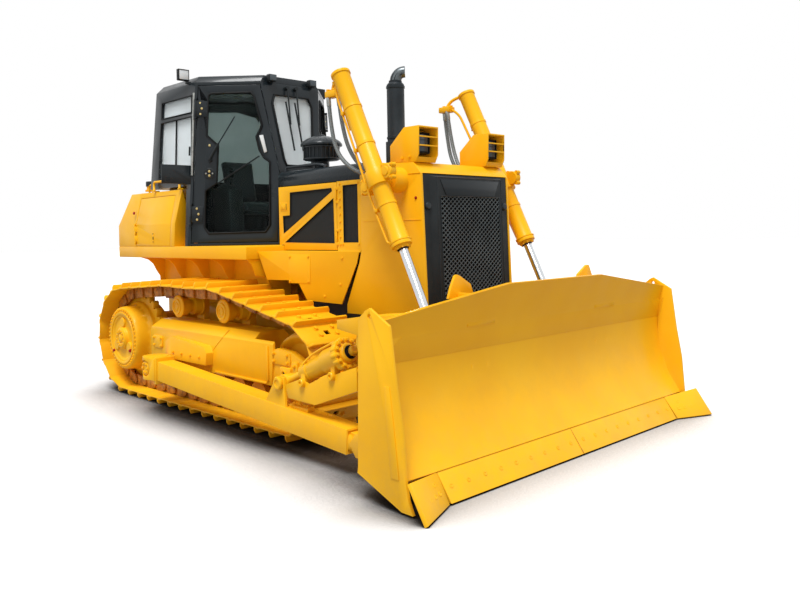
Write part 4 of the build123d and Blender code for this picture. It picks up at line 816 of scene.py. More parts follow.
@dataclass
class Tracks:
    """Shoes with their bolts, and the links and pins that they stand on."""

    loop: Loop = field(default_factory=Loop)
    centre_y: float = 0.940
    width: float = 0.510
    thick: float = 0.012
    grouser_thick: float = 0.016
    link_thick: float = 0.019
    link_rows: Flat = (-0.076, 0.076)
    link_depth: float = 0.109
    eye: float = 0.036
    pin_reach: float = 0.100
    smooth: float = 40.0
    reference: float = 0.2024

    def shoe(self) -> Piece:
        """Make one shoe: plate with a raised lip, grouser with cut corners, mud hole and bolts."""
        half, size, top = self.width / 2, self.reference, self.loop.grouser
        section = [
            (0.0, -self.thick), (0.0, 0.0), (0.026, 0.0), (0.140, 0.0), (0.156, 0.010), (0.182, 0.010),
            (0.199, 0.003), (size, -0.004), (size - 0.003, -self.thick), (0.182, -self.thick * 0.6),
            (0.160, -self.thick * 0.6), (0.146, -self.thick)]
        sole = plate("shoe", section, Across.Y, -half, half, 0.0025)
        hole = block("hole", (0.085, -0.024, -0.03), (0.125, 0.024, 0.03))
        shaped(sole, "BOOLEAN", operation="DIFFERENCE", object=hole, solver="EXACT")
        bpy.data.objects.remove(hole)
        near = self.grouser_thick + 0.002
        bar = plate(
            "grouser", [(-half, -0.004), (-half, top - 0.024), (-half + 0.014, top), (half - 0.014, top),
            (half, top - 0.024), (half, -0.004)], Across.X, 0.002, near, 0.003)
        fillet = plate(
            "fillet", [(near - 0.004, -0.002), (near - 0.004, 0.012), (near + 0.010, -0.002)], Across.Y,
            -half + 0.004, half - 0.004)
        parts = [sole, bar, fillet]
        for row in self.link_rows:
            for x in (0.058, 0.128):
                parts.append(aim(hex_bolt(0.017, 0.016), (x, row, 0.0), UP, x))
        return join("shoe", parts)

    def link(self) -> Piece:
        """Make one side of a link: two cranked halves with eyes round its pins."""
        rail, foot, pin, size = -self.link_depth, -self.thick, -self.loop.pin_to_plate, self.reference
        halves = []
        for start, sign in ((0.0, 1), (size, -1)):
            eye = [
                (start - sign * self.eye * math.cos(a), pin + self.eye * math.sin(a))
                for a in (-1.15, -0.6, 0.0, 0.6, 1.15)]
            body = [(start + sign * 0.118, foot), (start + sign * 0.118, rail), (start + sign * 0.012, rail)]
            notch = [(start + sign * 0.014, foot - 0.012), (start + sign * 0.030, foot)]
            middle = self.link_thick / 2 * sign
            halves.append(plate("half", body + eye + notch, Across.Y, middle - 0.0105, middle + 0.0105, 0.003))
        return join("link", halves)

    def pin(self) -> Piece:
        """Make one pin with its bushing, along Y."""
        reach = self.pin_reach
        profile = [
            (0, -reach), (0.016, -reach), (0.021, -reach + 0.005), (0.021, -0.052), (0.031, -0.050),
            (0.031, 0.050), (0.021, 0.052), (0.021, reach - 0.005), (0.016, reach), (0, reach)]
        return aim(turned("pin", profile, 14), ORIGIN, (0, 1, 0))

    def stretched(self, frames: list[tuple[Matrix, float]]) -> list[Matrix]:
        """Scale each frame along its pitch so that the model reaches the next joint."""
        return [frame @ Matrix.Diagonal((size / self.reference, 1, 1, 1)) for frame, size in frames]

    def build(self) -> None:
        """Set out both tracks."""
        shoe_frames, link_frames, pin_frames = [], [], []
        for side in Side:
            y = side.value * self.centre_y
            shoe_frames += self.stretched(self.loop.frames(self.loop.pin_to_plate, y))
            pin_frames += [frame for frame, _ in self.loop.frames(0.0, y)]
            for row in self.link_rows:
                mirror = Matrix.Diagonal((1, 1 if row > 0 else -1, 1, 1))
                base = self.stretched(self.loop.frames(self.loop.pin_to_plate, y + row))
                link_frames += [frame @ mirror for frame in base]
        shoes = copies("track_shoes", self.shoe(), shoe_frames)
        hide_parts("tracks")
        dress(shoes, Finish.TRACK, "chassis", self.smooth)
        links = copies("track_links", self.link(), link_frames)
        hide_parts("chains")
        dress(links, Finish.CHAIN, "chassis", self.smooth)
        dress(copies("track_pins", self.pin(), pin_frames), Finish.CHAIN, "chassis", self.smooth)


# ---------------------------------------------------------------- fitting out


def ring_of(count: int, radius: float, centre: Point, normal: Point, start: float = 0.0) -> list[Matrix]:
    """Return frames spaced round a circle, each standing along the circle's normal."""
    base = frame_at(centre, normal)
    steps = [start + math.tau * n / count for n in range(count)]
    return [base @ Matrix.Translation((radius * math.cos(a), radius * math.sin(a), 0)) for a in steps]


def row_of(first: Point, last: Point, count: int, normal: Point) -> list[Matrix]:
    """Return frames spaced along a line, each standing along a normal."""
    a, b = Vector(first), Vector(last)
    shares = [n / max(count - 1, 1) for n in range(count)]
    return [frame_at(a.lerp(b, share), normal) for share in shares]


@dataclass(frozen=True)
class Axis:
    """A cylinder's line from its foot to its eye, in a plane at one distance from the middle."""

    start: Flat
    end: Flat
    y: float

    @property
    def way(self) -> Point:
        """Direction from the foot to the eye."""
        length = math.dist(self.start, self.end)
        return ((self.end[0] - self.start[0]) / length, 0.0, (self.end[1] - self.start[1]) / length)

    def at(self, distance: float, out: float = 0.0, side: float = 0.0) -> Point:
        """Return the point at a distance along the line, moved outward in its plane and along Y."""
        x, _, z = self.way
        return (self.start[0] + x * distance - z * out, self.y + side, self.start[1] + z * distance + x * out)

    def collar(self, name: str, distance: float, profile: list[Flat], steps: int = 40) -> Piece:
        """Turn a (radius, height) profile about the line, from a distance along it."""
        return aim(turned(name, profile, steps), self.at(distance), self.way)


@dataclass
class Undercarriage:
    """Covers, caps, plates and bolts of the final drives, rollers and track frames."""

    hub: Point = (-2.040, -1.170, 0.5475)
    frame_y: float = -1.130
    carriers: tuple[float, ...] = (-1.120, -0.350)
    carrier_z: float = 0.905
    carrier_y: float = -1.064
    lobe_ring: float = 0.155

    def final_drives(self) -> None:
        """Dress the drive covers: rims, bolt rings, lobes, cap and plugs."""
        x, y, z = self.hub
        rim = turned(
            "drive_rim", [(0.232, -0.004), (0.232, 0.006), (0.240, 0.010), (0.256, 0.010), (0.262, -0.004)], 72)
        cap = turned(
            "drive_cap", [(0.050, 0.012), (0.050, 0.022), (0.056, 0.026), (0.088, 0.026), (0.096, 0.020),
            (0.096, 0.012)], 56)
        dome = turned(
            "drive_dome", [(0.0, 0.012), (0.040, 0.012), (0.040, 0.024), (0.030, 0.030), (0.0, 0.032)], 32)
        lobes = []
        for n in range(3):
            angle = math.radians(90 + 120 * n)
            lobe = turned(
                "lobe", [(0, -0.016), (0.050, -0.016), (0.050, -0.002), (0.044, 0.004), (0, 0.004)], 28)
            lobes.append(shifted(lobe, self.lobe_ring * math.cos(angle), self.lobe_ring * math.sin(angle), 0))
        covers = join("drive_covers", [rim, cap, dome, *lobes])
        both(aim(covers, self.hub, OUT), Finish.YELLOW)
        bolts = copies("drive_bolts", hex_bolt(0.0085, 0.012), ring_of(44, 0.279, (x, y, z), OUT))
        inner = copies("cap_bolts", hex_bolt(0.006, 0.009), ring_of(12, 0.072, (x, y - 0.026, z), OUT, 0.2))
        both(join("drive_bolts", [bolts, inner]), Finish.TRACK)
        spots = [frame_at((x + dx, y, z + dz), OUT) for dx, dz in ((-0.190, -0.140), (0.170, -0.110))]
        bolted("drive_plugs", 0.013, 0.016, spots, Finish.RED)

    def rollers(self) -> None:
        """Put ringed caps and seals on the carrier rollers."""
        spots = [frame_at((x, self.carrier_y, self.carrier_z), OUT) for x in self.carriers]
        cap = turned(
            "cap", [(0.0, 0.005), (0.030, 0.005), (0.030, 0.010), (0.036, 0.010), (0.038, 0.003),
            (0.056, 0.003), (0.058, 0.011), (0.070, 0.011), (0.075, 0.004), (0.075, -0.006), (0.0, -0.006)], 40)
        both(copies("carrier_caps", cap, spots), Finish.YELLOW)
        ring = turned("ring", [(0.080, -0.030), (0.086, -0.030), (0.086, -0.014), (0.080, -0.014)], 40)
        both(copies("carrier_seals", ring, spots), Finish.RUBBER)

    def frames(self) -> None:
        """Add the plates, bars, seams and bolts on the outer sides of the track frames."""
        y = self.frame_y
        rear_cover = plate(
            "rear_cover", [(-1.452, 0.530), (-1.452, 0.609), (-1.434, 0.627), (-1.294, 0.627), (-1.276, 0.609),
            (-1.276, 0.530), (-1.294, 0.512), (-1.434, 0.512)], Across.Y, y, y - 0.010, 0.002)
        front_bar = block("front_bar", (0.405, y + 0.002, 0.420), (0.432, y - 0.014, 0.690), 0.005)
        foot_bar = block("foot_bar", (-0.360, y + 0.002, 0.390), (0.400, y - 0.012, 0.408), 0.004)
        both(join("frame_covers", [rear_cover, front_bar, foot_bar]), Finish.YELLOW)
        seam = strip(
            "frame_seams", [(-0.205, y + 0.045, 0.767), (-0.228, y, 0.705), (-0.296, y, 0.656),
            (-0.422, y, 0.557), (-0.433, y, 0.427)], 0.004, False)
        both(seam, Finish.TRACK)
        corner_bolts = [frame_at((x, y - 0.010, z), OUT) for x in (-1.432, -1.296) for z in (0.534, 0.605)]
        corner_bolts += row_of((-0.95, y - 0.070, 0.520), (-0.50, y - 0.070, 0.520), 4, OUT)
        bolted("frame_bolts", 0.010, 0.012, corner_bolts)

    def idler_guards(self) -> None:
        """Add the plate, boss and blocks that guide the idler's axle."""
        y = -1.115
        cover = plate(
            "cover", [(0.455, 0.560), (0.470, 0.655), (0.540, 0.672), (0.690, 0.655), (0.700, 0.600),
            (0.690, 0.560)], Across.Y, y, y - 0.010, 0.003)
        boss = block("boss", (0.590, y, 0.455), (0.720, y - 0.030, 0.550), 0.008)
        eye = aim(
            turned("eye", [(0.014, 0.0), (0.028, 0.0), (0.028, 0.012), (0.020, 0.012), (0.014, 0.004)], 28),
            (0.650, y - 0.030, 0.502), OUT)
        stops = [
            block("stop", (x, y, z), (x + 0.060, y - 0.022, z + h), 0.005)
            for x, z, h in ((0.740, 0.450, 0.150), (0.810, 0.460, 0.090))]
        both(join("idler_guards", [cover, boss, eye, *stops]), Finish.YELLOW)
        spots = [
            frame_at((x, y - 0.010, z), OUT) for x, z in ((0.490, 0.640), (0.665, 0.640), (0.490, 0.580),
            (0.665, 0.580))]
        spots += [frame_at((0.770, y - 0.022, z), OUT) for z in (0.480, 0.570)]
        bolted("idler_bolts", 0.011, 0.014, spots)
        # Painted shade: a thin black disc inside the boss's eye stands for the dark hollow of its hole.
        hole = aim(
            turned("hole", [(0, 0.0), (0.014, 0.0), (0.014, 0.002), (0, 0.002)], 20), (0.650, y - 0.030, 0.502),
            OUT)
        both(hole, Finish.RUBBER)

    def build(self) -> None:
        """Dress both sides."""
        self.final_drives()
        self.rollers()
        self.frames()
        self.idler_guards()


@dataclass
class Arms:
    """Caps, plates and bolts of the push arms and of the tilt cylinder."""

    trunnion: Flat = (-1.030, 0.395)
    ball: Flat = (1.760, 0.215)
    arm_y: float = -1.330
    pin: Flat = (0.950, 0.510)
    eye: Flat = (1.880, 0.885)
    flange_reach: float = 0.712
    bolt_ring: float = 0.092
    beam_end: float = 2.700
    rim_at: float = 2.7045
    rim_corners: tuple[Flat, ...] = ((0.074, 0.067), (0.074, -0.067), (-0.074, -0.067), (-0.074, 0.067))
    smooth: float = 40.0

    def along(self, distance: float, height: float, y: float) -> Point:
        """Return a point at a distance along the arm's line and a height over it."""
        length = math.dist(self.trunnion, self.ball)
        cx, cz = (self.ball[0] - self.trunnion[0]) / length, (self.ball[1] - self.trunnion[1]) / length
        return (
            self.trunnion[0] + distance * cx - height * cz, y, self.trunnion[1] + distance * cz + height * cx)

    def beams(self) -> None:
        """Add the beams' end caps, base plates and bolts."""
        cap = aim(
            turned("cap", [(0, 0), (0.060, 0), (0.060, 0.010), (0.046, 0.014), (0.044, 0.008), (0.0, 0.008)],
            32), (self.trunnion[0], -1.420, self.trunnion[1]), OUT)
        base = block("base", (0.985, -1.362, 0.333), (1.215, -1.300, 0.360), 0.004)
        wedge = plate(
            "wedge", [(1.270, 0.262), (1.330, 0.330), (1.380, 0.330), (1.450, 0.252)], Across.Y, -1.262, -1.290,
            0.004)
        both(join("arm_fittings", [cap, base, wedge]), Finish.YELLOW, "arm_{}")
        spots = [frame_at((x, -1.331, 0.360), UP) for x in (1.020, 1.100, 1.180)]
        spots += ring_of(6, 0.042, (self.trunnion[0], -1.428, self.trunnion[1]), OUT)
        bolted("arm_bolts", 0.010, 0.014, spots, Finish.YELLOW, "arm_{}")
        profile = [
            (0, 0), (0.046, 0), (0.046, 0.014), (0.040, 0.020), (0.026, 0.020), (0.024, 0.014), (0, 0.014)]
        both(
            aim(turned("pin_caps", profile), (self.pin[0], self.arm_y - 0.080, self.pin[1]), OUT),
            Finish.YELLOW, "arm_{}")
        ball_cap = aim(
            turned("ball_cap", [(0.0, 0), (0.050, 0), (0.050, 0.016), (0.040, 0.022), (0.0, 0.024)]),
            self.along(self.beam_end, 0, self.arm_y - 0.045), OUT)
        rim = strip("end_rim", [self.along(self.rim_at, h, self.arm_y + s) for h, s in self.rim_corners], 0.006)
        both(join("ball_caps", [ball_cap, rim]), Finish.YELLOW, "arm_{}")

    def tilt_cylinder(self) -> None:
        """Dress the tilt cylinder: scalloped head, bolts, gland, seal and the guard's bolts."""
        line = Axis(self.pin, self.eye, self.arm_y)
        reach = self.flange_reach
        lobes = []
        for frame in ring_of(14, self.bolt_ring, line.at(reach - 0.046), line.way):
            lobe = turned(
                "lobe", [(0, 0), (0.019, 0.0), (0.0205, 0.004), (0.0205, 0.044), (0.018, 0.048), (0, 0.048)],
                14)
            lobes.append(laid_at(lobe, frame))
        gland = line.collar(
            "gland", reach - 0.002, [(0.042, 0), (0.068, 0), (0.068, 0.012), (0.060, 0.026), (0.050, 0.030),
            (0.042, 0.030)])
        band = line.collar("band", 0.300, [(0.066, 0), (0.0725, 0.002), (0.0725, 0.016), (0.066, 0.018)])
        dress(join("tilt_head", [*lobes, gland, band]), Finish.YELLOW, "tilt_barrel", self.smooth)
        bolts = copies(
            "tilt_bolts", hex_bolt(0.0115, 0.018), ring_of(14, self.bolt_ring, line.at(reach + 0.002),
            line.way))
        dress(bolts, Finish.YELLOW, "tilt_barrel")
        seal = line.collar(
            "tilt_seal", reach + 0.020, [(0.0385, 0), (0.046, 0), (0.046, 0.012), (0.0385, 0.012)])
        dress(seal, Finish.RUBBER, "tilt_barrel")
        boss = turned(
            "boss", [(0, 0), (0.029, 0), (0.029, 0.022), (0.025, 0.028), (0.012, 0.028), (0.010, 0.018),
            (0, 0.018)], 28)
        bosses = copies(
            "shield_bosses", boss, [frame_at((x, -1.400, z), OUT) for x, z in ((1.219, 0.545), (1.538, 0.629))])
        dress(bosses, Finish.YELLOW, "tilt_barrel")
        pipe_run = pipe(
            "tilt_pipe", [line.at(0.30, 0.05, -0.060), line.at(0.36, 0.09, -0.030),
            line.at(0.55, 0.098, -0.030), line.at(0.655, 0.098, -0.030)], 0.008)
        dress(pipe_run, Finish.YELLOW, "tilt_barrel")

    def build(self) -> None:
        """Dress both arms and the cylinder."""
        self.beams()
        self.tilt_cylinder()


@dataclass
class BladeFittings:
    """Rolled face, bolts, weld beads and wear strips of the blade."""

    edge_top: Flat = (2.405, 0.171)
    edge_tip: Flat = (2.514, 0.012)
    roll: tuple[Flat, ...] = ((2.405, 0.171), (2.212, 0.640), (2.330, 1.210))
    half: float = 1.6195
    fall_from: float = 0.550
    end_top: float = 1.060
    sheet: float = 0.003
    edge_gap: float = 0.002
    grid: tuple[int, int] = (48, 24)
    inner: float = 1.619
    edge_normal: Point = (0.825, 0.0, 0.565)
    bit_rows: tuple[tuple[float, tuple[float, ...]], ...] = ((0.30, (0.28, 0.48)), (0.58, (0.20, 0.38, 0.56)))
    corner: tuple[Flat, ...] = (
        (2.398, 0.182), (2.300, 0.330), (2.236, 0.500), (2.213, 0.640), (2.226, 0.800), (2.262, 0.960))
    proud: float = 0.004
    bit: tuple[Point, ...] = (
        (2.405, -1.350, 0.171), (2.514, -1.362, 0.012), (2.653, -1.683, 0.012), (2.508, -1.683, 0.203))

    def roll_circle(self) -> tuple[float, float, float]:
        """Return the circle through the roll's three points: centre X, centre Z and radius."""
        (x1, z1), (x2, z2), (x3, z3) = self.roll
        turn = 2 * (x1 * (z2 - z3) + x2 * (z3 - z1) + x3 * (z1 - z2))
        s1, s2, s3 = x1 * x1 + z1 * z1, x2 * x2 + z2 * z2, x3 * x3 + z3 * z3
        x = (s1 * (z2 - z3) + s2 * (z3 - z1) + s3 * (z1 - z2)) / turn
        z = (s1 * (x3 - x2) + s2 * (x1 - x3) + s3 * (x2 - x1)) / turn
        return x, z, math.hypot(x1 - x, z1 - z)

    def face(self) -> None:
        """Lay the smooth rolled sheet over the front of the mouldboard, its top edge falling to both ends."""
        x, z, radius = self.roll_circle()
        radius -= self.proud
        bottom, top = self.roll[0][1] + 2 * self.edge_gap, self.roll[2][1]
        fall = (top - self.end_top) / (self.half - self.fall_from)
        bpy.ops.mesh.primitive_grid_add(x_subdivisions=self.grid[0], y_subdivisions=self.grid[1], size=1)
        piece = bpy.context.object
        piece.name = "mouldboard_sheet"
        start = math.asin((bottom - z) / radius)
        for corner in piece.data.vertices:
            share, y = corner.co.x + 0.5, corner.co.y * 2 * self.half
            edge = top - max(0.0, abs(y) - self.fall_from) * fall - self.edge_gap
            angle = start + share * (math.asin((edge - z) / radius) - start)
            corner.co = (x - radius * math.cos(angle), y, z + radius * math.sin(angle))
        shaped(piece, "SOLIDIFY", thickness=self.sheet, offset=0.0)
        with editing(piece):
            bpy.ops.mesh.normals_make_consistent(inside=False)
        dress(piece, Finish.YELLOW, "blade")

    def edge_bolts(self) -> None:
        """Set plough bolts in the cutting edges and end bits."""
        middle = [(a + b) / 2 for a, b in zip(self.edge_top, self.edge_tip)]
        spots = row_of((middle[0], -1.290, middle[1]), (middle[0], 1.290, middle[1]), 18, self.edge_normal)
        a, b, c, d = (Vector(corner) for corner in self.bit)
        out = (b - a).cross(c - a).normalized()
        out = out if out.x > 0 else -out
        for row, share in self.bit_rows:
            for part in share:
                spot = a.lerp(b, row).lerp(d.lerp(c, row), part) + out * 0.002
                spots.append(frame_at(spot, out))
                spots.append(frame_at((spot.x, -spot.y, spot.z), (out.x, -out.y, out.z)))
        head = turned(
            "plough", [(0, -0.002), (0.015, -0.002), (0.015, 0.002), (0.009, 0.0035), (0.007, 0.001),
            (0, 0.001)], 14)
        dress(copies("edge_bolts", head, spots), Finish.TRACK, "blade")
        # Painted shade: a thin orange-brown strip in the seam between the two cutting-edge halves stands for
        # the shade in that gap.
        gap = strip(
            "edge_gap", [(self.edge_top[0] + 0.001, 0, self.edge_top[1]),
            (self.edge_tip[0] + 0.001, 0, self.edge_tip[1] + 0.004)], 0.002, False)
        dress(gap, Finish.CHAIN, "blade")

    def beads(self) -> None:
        """Lay weld beads where the mouldboard meets its edges and end plates."""
        beads = [
            strip("bead", [(x, side.value * self.inner, z) for x, z in self.corner], 0.006, False)
            for side in Side]
        beads.append(strip("bead", [(2.404, -1.350, 0.176), (2.404, 1.350, 0.176)], 0.005, False))
        dress(join("blade_beads", beads), Finish.YELLOW, "blade")

    def wear_strips(self) -> None:
        """Put wear strips on the outer faces of the end plates."""
        wear = plate(
            "strip", [(2.330, 0.190), (2.395, 0.190), (2.356, 0.520), (2.330, 0.697), (2.289, 0.697),
            (2.300, 0.520)], Across.Y, -1.6390, -1.6465, 0.002)
        both(wear, Finish.YELLOW, "blade")

    def build(self) -> None:
        """Dress the blade."""
        self.face()
        self.edge_bolts()
        self.beads()
        self.wear_strips()


@dataclass
class LiftCylinders:
    """Heads, bands, bearings and pipes of the two lift cylinders."""

    trunnion: Flat = (1.275, 1.938)
    eye: Flat = (1.950, 0.550)
    y: float = -0.724
    top: float = -0.919
    foot: float = 0.539
    cap_y: float = -0.785
    guard_y: float = -0.6145
    yoke_reach: float = 0.122
    bands: tuple[float, ...] = (-0.62, -0.30, 0.20)

    def barrel(self) -> None:
        """Dress the barrel with its head, bands and bearing cap."""
        line = Axis(self.trunnion, self.eye, self.y)
        gland = line.collar(
            "gland", self.foot - 0.002, [(0.036, 0), (0.060, 0), (0.060, 0.010), (0.052, 0.022),
            (0.036, 0.024)])
        ring = line.collar(
            "ring", self.foot - 0.040, [(0.070, 0), (0.080, 0.003), (0.080, 0.012), (0.070, 0.014)])
        cap = line.collar(
            "cap", self.top - 0.006, [(0.0, 0.0), (0.064, 0.0), (0.072, 0.006), (0.072, 0.014), (0.0, 0.014)])
        bands = [
            line.collar("band", s, [(0.066, 0), (0.0725, 0.002), (0.0725, 0.022), (0.066, 0.024)])
            for s in self.bands]
        both(join("lift_rings", [gland, ring, cap, *bands]), Finish.YELLOW, "lift_barrel_{}")
        seal = line.collar(
            "lift_seals", self.foot + 0.016, [(0.0345, 0), (0.042, 0), (0.042, 0.010), (0.0345, 0.010)])
        both(seal, Finish.RUBBER, "lift_barrel_{}")
        bolts = copies(
            "lift_bolts", hex_bolt(0.008, 0.012), ring_of(8, 0.052, line.at(self.foot + 0.012), line.way))
        both(bolts, Finish.YELLOW, "lift_barrel_{}")
        place = (self.trunnion[0], self.cap_y, self.trunnion[1])
        cap = aim(
            turned("trunnion_cap", [(0.0, 0.0), (0.046, 0.0), (0.046, 0.012), (0.040, 0.016), (0.0, 0.018)],
            36), place, OUT)
        both(cap, Finish.YELLOW, "lift_barrel_{}")

    def bearing(self) -> None:
        """Add the bearing ring on the guard and the caps of the yoke that holds the barrel."""
        x, z = self.trunnion
        flange = aim(
            turned("bearing_ring", [(0.046, 0), (0.094, 0), (0.094, 0.008), (0.086, 0.014), (0.046, 0.014)],
            48), (x, self.guard_y, z), OUT)
        both(flange, Finish.YELLOW)
        line = Axis(self.trunnion, self.eye, self.y)
        caps, spots = [], []
        for out in (self.yoke_reach, -self.yoke_reach):
            place = line.at(0.0, out, 0.030)
            profile = [
                (0, 0), (0.052, 0), (0.056, 0.006), (0.056, 0.056), (0.050, 0.062), (0.034, 0.062),
                (0.030, 0.070), (0, 0.072)]
            caps.append(aim(turned("cap", profile, 36), place, OUT))
            for ear in ring_of(4, 0.062, place, OUT, math.pi / 4):
                lobe = turned("lobe", [(0, 0.010), (0.017, 0.010), (0.017, 0.050), (0, 0.050)], 16)
                caps.append(laid_at(lobe, ear))
                spots.append(ear @ Matrix.Translation((0, 0, 0.050)))
        both(join("yoke_caps", caps), Finish.YELLOW, "lift_barrel_{}", 40)
        bolted("yoke_bolts", 0.009, 0.010, spots, Finish.YELLOW, "lift_barrel_{}")

    def pipes(self) -> None:
        """Run the steel pipe down the barrel's rear side with its clamps."""
        line = Axis(self.trunnion, self.eye, self.y)
        run = pipe(
            "lift_pipe", [line.at(-0.86, -0.060, -0.02), line.at(-0.84, -0.092, -0.03),
            line.at(-0.40, -0.092, -0.03), line.at(0.10, -0.112, -0.03), line.at(0.44, -0.096, -0.03),
            line.at(0.475, -0.092, -0.03), line.at(0.485, -0.060, -0.02)], 0.009)
        clamps = []
        for s, out in zip(self.bands, (-0.082, -0.084, -0.090)):
            x, y, z = line.at(s + 0.010, out, -0.028)
            clamps.append(
                block("clamp", (x - 0.016, y - 0.018, z - 0.014), (x + 0.016, y + 0.018, z + 0.014), 0.004))
        fitting = line.collar("fitting", -0.885, [(0.0, 0.0), (0.02, 0.0), (0.02, 0.03), (0.0, 0.03)], 16)
        shifted(fitting, *(Vector(line.at(-0.885, -0.070, -0.02)) - Vector(line.at(-0.885))))
        both(join("lift_pipes", [run, *clamps, fitting]), Finish.YELLOW, "lift_barrel_{}")
        bolts = [
            frame_at(line.at(s + 0.010, -0.10, -0.028), (-line.way[2], 0, line.way[0])) for s in self.bands]
        flipped = [frame @ Matrix.Rotation(math.pi, 4, "X") for frame in bolts]
        bolted("clamp_bolts", 0.006, 0.010, flipped, Finish.ZINC, "lift_barrel_{}")

    def build(self) -> None:
        """Dress both cylinders."""
        self.barrel()
        self.bearing()
        self.pipes()


def slab(name: str, outline: list[Flat], y: float, thick: float, width: float = 0.0) -> Piece:
    """Make a plate from an (x, z) outline, its inner face at a distance right of the middle plane."""
    return plate(name, outline, Across.Y, -y, -y - thick, width)


@dataclass
class Engine:
    """Screens, latches and bolts of the engine's side doors and panels."""

    face: float = 0.505
    screen_face: float = 0.4932
    screen_thick: float = 0.0033
    rim_depth: float = 0.003
    swept: tuple[Flat, Flat] = ((-0.204, -0.785), (0.813, -0.505))
    upper: tuple[Flat, ...] = (
        (-0.099, 1.910), (0.465, 1.920), (0.473, 1.899), (-0.203, 1.559), (-0.209, 1.708), (-0.107, 1.712))
    lower: tuple[Flat, ...] = ((0.489, 1.835), (0.494, 1.473), (-0.184, 1.480))
    fixed: tuple[Flat, ...] = ((0.616, 1.933), (0.788, 1.936), (0.790, 1.479), (0.615, 1.479))

    def screens(self) -> None:
        """Lay the fine black screens behind the openings, with a dark rim round each."""
        doors = [
            slab("screen", list(shape), self.screen_face, self.screen_thick)
            for shape in (self.upper, self.lower)]
        both(join("door_screens", doors), Finish.SCREEN, "hood_door_{}", 0)
        both(
            slab("side_screen", list(self.fixed), self.screen_face, self.screen_thick), Finish.SCREEN,
            "chassis", 0)
        rims = [
            strip("rim", [(x, -self.face + self.rim_depth, z) for x, z in shape], 0.006)
            for shape in (self.upper, self.lower)]
        both(join("door_rims", rims), Finish.RUBBER, "hood_door_{}")
        both(
            strip("side_rim", [(x, -self.face + self.rim_depth, z) for x, z in self.fixed], 0.006),
            Finish.RUBBER)

    def latches(self) -> None:
        """Set the paddle latches in the doors and the bolts along the fixed panels."""
        tray = block("tray", (-0.244, -self.face - 0.004, 1.757), (-0.144, -self.face + 0.001, 1.826), 0.002)
        paddle = block("paddle", (-0.228, -self.face - 0.009, 1.772), (-0.172, -self.face, 1.811), 0.003)
        both(join("latches", [tray, paddle]), Finish.YELLOW, "hood_door_{}")
        # Painted shade: a thin black block beside the paddle stands for the shaded gap behind it.
        gap = block("latch_gap", (-0.160, -self.face - 0.0055, 1.764), (-0.152, -self.face, 1.819), 0.001)
        both(gap, Finish.RUBBER, "hood_door_{}")
        spots = row_of((0.575, -self.face, 1.460), (0.575, -self.face, 1.950), 9, OUT)
        spots += [
            frame_at((0.605, -self.face, 1.463), OUT), frame_at((0.800, -self.face, 1.463), OUT),
            frame_at((0.800, -self.face, 1.950), OUT)]
        bolted("panel_bolts", 0.008, 0.008, spots)

    def swept_covers(self) -> None:
        """Lay a bolted cover on each swept lower panel."""
        a, b = (Vector((*end, 0)) for end in self.swept)
        along = (b - a).normalized()
        out = Vector((along.y, -along.x, 0))
        frame = Matrix.Translation((a.x, a.y, 0)) @ Matrix((along, (0, 0, 1), out)).transposed().to_4x4()
        sheet = laid_at(
            plate("cover", [(0.335, 1.141), (0.335, 1.380), (0.560, 1.380), (0.560, 1.141)], Across.Z, -0.001,
            0.004, 0.002), frame)
        both(sheet, Finish.YELLOW)
        spots = [
            frame_at(frame @ Vector((u, z, 0.004)), out)
            for u, z in ((0.352, 1.158), (0.352, 1.363), (0.543, 1.158), (0.543, 1.363))]
        spots += [
            frame_at(frame @ Vector((u, z, 0.001)), out)
            for u, z in ((0.880, 1.350), (0.860, 1.140), (0.700, 1.040))]
        bolted("cover_bolts", 0.008, 0.008, spots)

    def build(self) -> None:
        """Dress both sides."""
        self.screens()
        self.latches()
        self.swept_covers()


